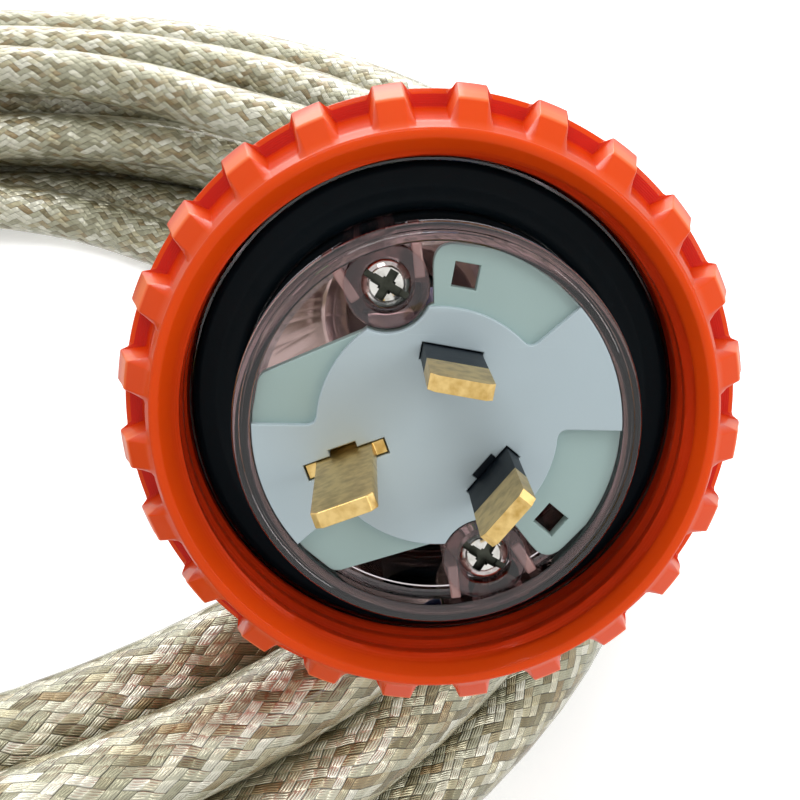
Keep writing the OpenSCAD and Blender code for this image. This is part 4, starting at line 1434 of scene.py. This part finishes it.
@dataclass
class Studio:
    """Floor, world, lamps and camera."""

    camera_mm: tuple[float, float, float] = (-7.48, -128.3, 86.96)
    elevation_deg: float = 33.0
    yaw_deg: float = -1.56
    lens: float = 65.4
    world_light: float = 0.6
    floor_half: float = 6000.0
    lamps: tuple[tuple[str, tuple[float, float, float], float, float], ...] = (
        ("key", (-0.20, 0.0, 0.85), 0.45, 2.6),
        ("fill", (0.7, -0.30, 0.45), 0.5, 2.6),
        ("back", (-0.15, 0.95, 0.40), 0.6, 4.2),
    )
    aim: tuple[float, float, float] = (0.0, 0.03, -0.02)

    def build(self) -> None:
        """Make everything that isn't the object."""
        self.floor()
        self.world()
        self.lights()
        self.camera()

    def floor(self) -> None:
        """A plain white floor that keeps the object's shadow.

        Metal and glass see it white too, and it sends no more light than paper would.
        """
        ends, down = (-self.floor_half, self.floor_half), -FACE_HEIGHT - 0.05
        rows = [[Vector((x, y, down)) for x in ends] for y in ends]
        mesh = grid_mesh("floor", rows, False, False)
        material = bpy.data.materials.new("white_paper")
        material.use_nodes = True
        tree = material.node_tree
        paper = tree.nodes["Principled BSDF"]
        paper.inputs["Roughness"].default_value = 0.9
        paper.inputs["Emission Color"].default_value = srgb("#FFFFFF")
        seen, mirrored = self.light_path(tree)
        inputs = {0: mirrored, 6: srgb("#F2F2F2"), 7: srgb("#000000")}
        base = add_node(tree, "ShaderNodeMix", inputs, 2, data_type="RGBA")
        tree.links.new(base, paper.inputs["Base Color"])
        inputs = {0: seen, 1: 0.5, 2: mirrored}
        glow = add_node(tree, "ShaderNodeMath", inputs, operation="MULTIPLY_ADD")
        tree.links.new(glow, paper.inputs["Emission Strength"])
        mesh.materials.append(material)
        linked("floor", mesh)

    @staticmethod
    def light_path(tree: Tree) -> tuple[Socket, Socket]:
        """A value of 1 for the camera's rays, and one for rays mirrored or let through."""
        path = add_node(tree, "ShaderNodeLightPath").node.outputs
        inputs = {0: path["Is Glossy Ray"], 1: path["Is Transmission Ray"]}
        mirrored = add_node(tree, "ShaderNodeMath", inputs, operation="MAXIMUM")
        return path["Is Camera Ray"], mirrored

    def world(self) -> None:
        """A plain pale world, seen as white."""
        world = bpy.data.worlds.new("studio")
        bpy.context.scene.world = world
        world.use_nodes = True
        tree = world.node_tree
        back = tree.nodes["Background"]
        back.inputs[0].default_value = srgb("#FFFFFF")
        seen, mirrored = self.light_path(tree)
        inputs = {0: seen, 1: mirrored}
        bare = add_node(tree, "ShaderNodeMath", inputs, operation="MAXIMUM")
        inputs = {0: bare, 1: 1 - self.world_light, 2: self.world_light}
        light = add_node(tree, "ShaderNodeMath", inputs, operation="MULTIPLY_ADD")
        tree.links.new(light, back.inputs[1])

    def lights(self) -> None:
        """Soft area lamps, aimed at the plug."""
        for name, place, size, power in self.lamps:
            lamp = bpy.data.lights.new(name, "AREA")
            lamp.size = size
            lamp.energy = power
            obj = linked(name, lamp)
            obj.location = place
            aim = Vector(self.aim) - Vector(place)
            obj.rotation_euler = aim.to_track_quat("-Z", "Y").to_euler()

    def camera(self) -> None:
        """The camera, a little above the plug's face."""
        e, w = math.radians(self.elevation_deg), math.radians(self.yaw_deg)
        right = Vector((math.cos(w), math.sin(w), 0))
        ahead = Vector((-math.sin(w) * math.cos(e), math.cos(w) * math.cos(e), -math.sin(e)))
        up = right.cross(ahead)
        data = bpy.data.cameras.new("camera")
        data.lens = self.lens
        data.sensor_width = 36.0
        data.clip_start = 0.01
        obj = linked("camera", data)
        turn = Matrix((right, up, -ahead)).transposed().to_4x4()
        obj.matrix_world = Matrix.Translation(Vector(self.camera_mm) * MM) @ turn
        bpy.context.scene.camera = obj


# --- the whole object


BODIES = {"slip_washer": Body.WASHER}

# Each finish with its eased edge in millimetres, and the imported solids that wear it.
SOLIDS: tuple[tuple[str, float, str], ...] = (
    ("brass", 0.15, "active_pin neutral_pin earth_pin"),
    ("sleeve", 0.06, "active_sleeve neutral_sleeve"),
    ("zinc", 0.1, "terminal_screws"),
    ("frosted", 0.3, "rear_housing"),
    ("rubber", 0.2, "joint_seal"),
    ("rubber", 0.4, "gland_seal"),
    ("nylon", 0.15, "gland_washer"),
    ("clear", 0.3, "gland_nut"),
    ("nylon", 0.15, "slip_washer"),
    ("brown", 0.0, "active_core"),
    ("blue", 0.0, "neutral_core"),
    ("green", 0.0, "earth_core"),
    ("clear", 0.2, "connector_collar"),
    ("nylon", 0.2, "socket_face"),
    ("brass", 0.12, "active_contact neutral_contact earth_contact"),
    ("steel", 0.1, "contact_screws socket_screws"),
    ("clear", 0.3, "connector_housing"),
    ("rubber", 0.2, "connector_joint_seal"),
    ("rubber", 0.4, "connector_gland_seal"),
    ("nylon", 0.15, "connector_gland_washer"),
    ("clear", 0.3, "connector_gland_nut"),
    ("brown", 0.0, "connector_active_core"),
    ("blue", 0.0, "connector_neutral_core"),
    ("green", 0.0, "connector_earth_core"),
    ("rubber", 0.0, "sheath_end connector_sheath_end"),
)


def main() -> None:
    """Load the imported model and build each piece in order."""
    logging.basicConfig(level=logging.INFO, format="%(message)s")
    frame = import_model()
    bpy.context.scene.view_settings.view_transform = "Standard"
    Studio().build()
    for key, edge_mm, nodes in SOLIDS:
        for node in nodes.split():
            RoundedSolid(node, key, edge_mm, BODIES.get(node, Body.PLUG)).build(frame["nodes"])
    for part in (ClearFrontShell, PinCarrier, FaceScrews, ScrewRing, FaceGasket, BraidedCord):
        part().build()
    bpy.context.view_layer.update()


if __name__ == "__main__":
    main()
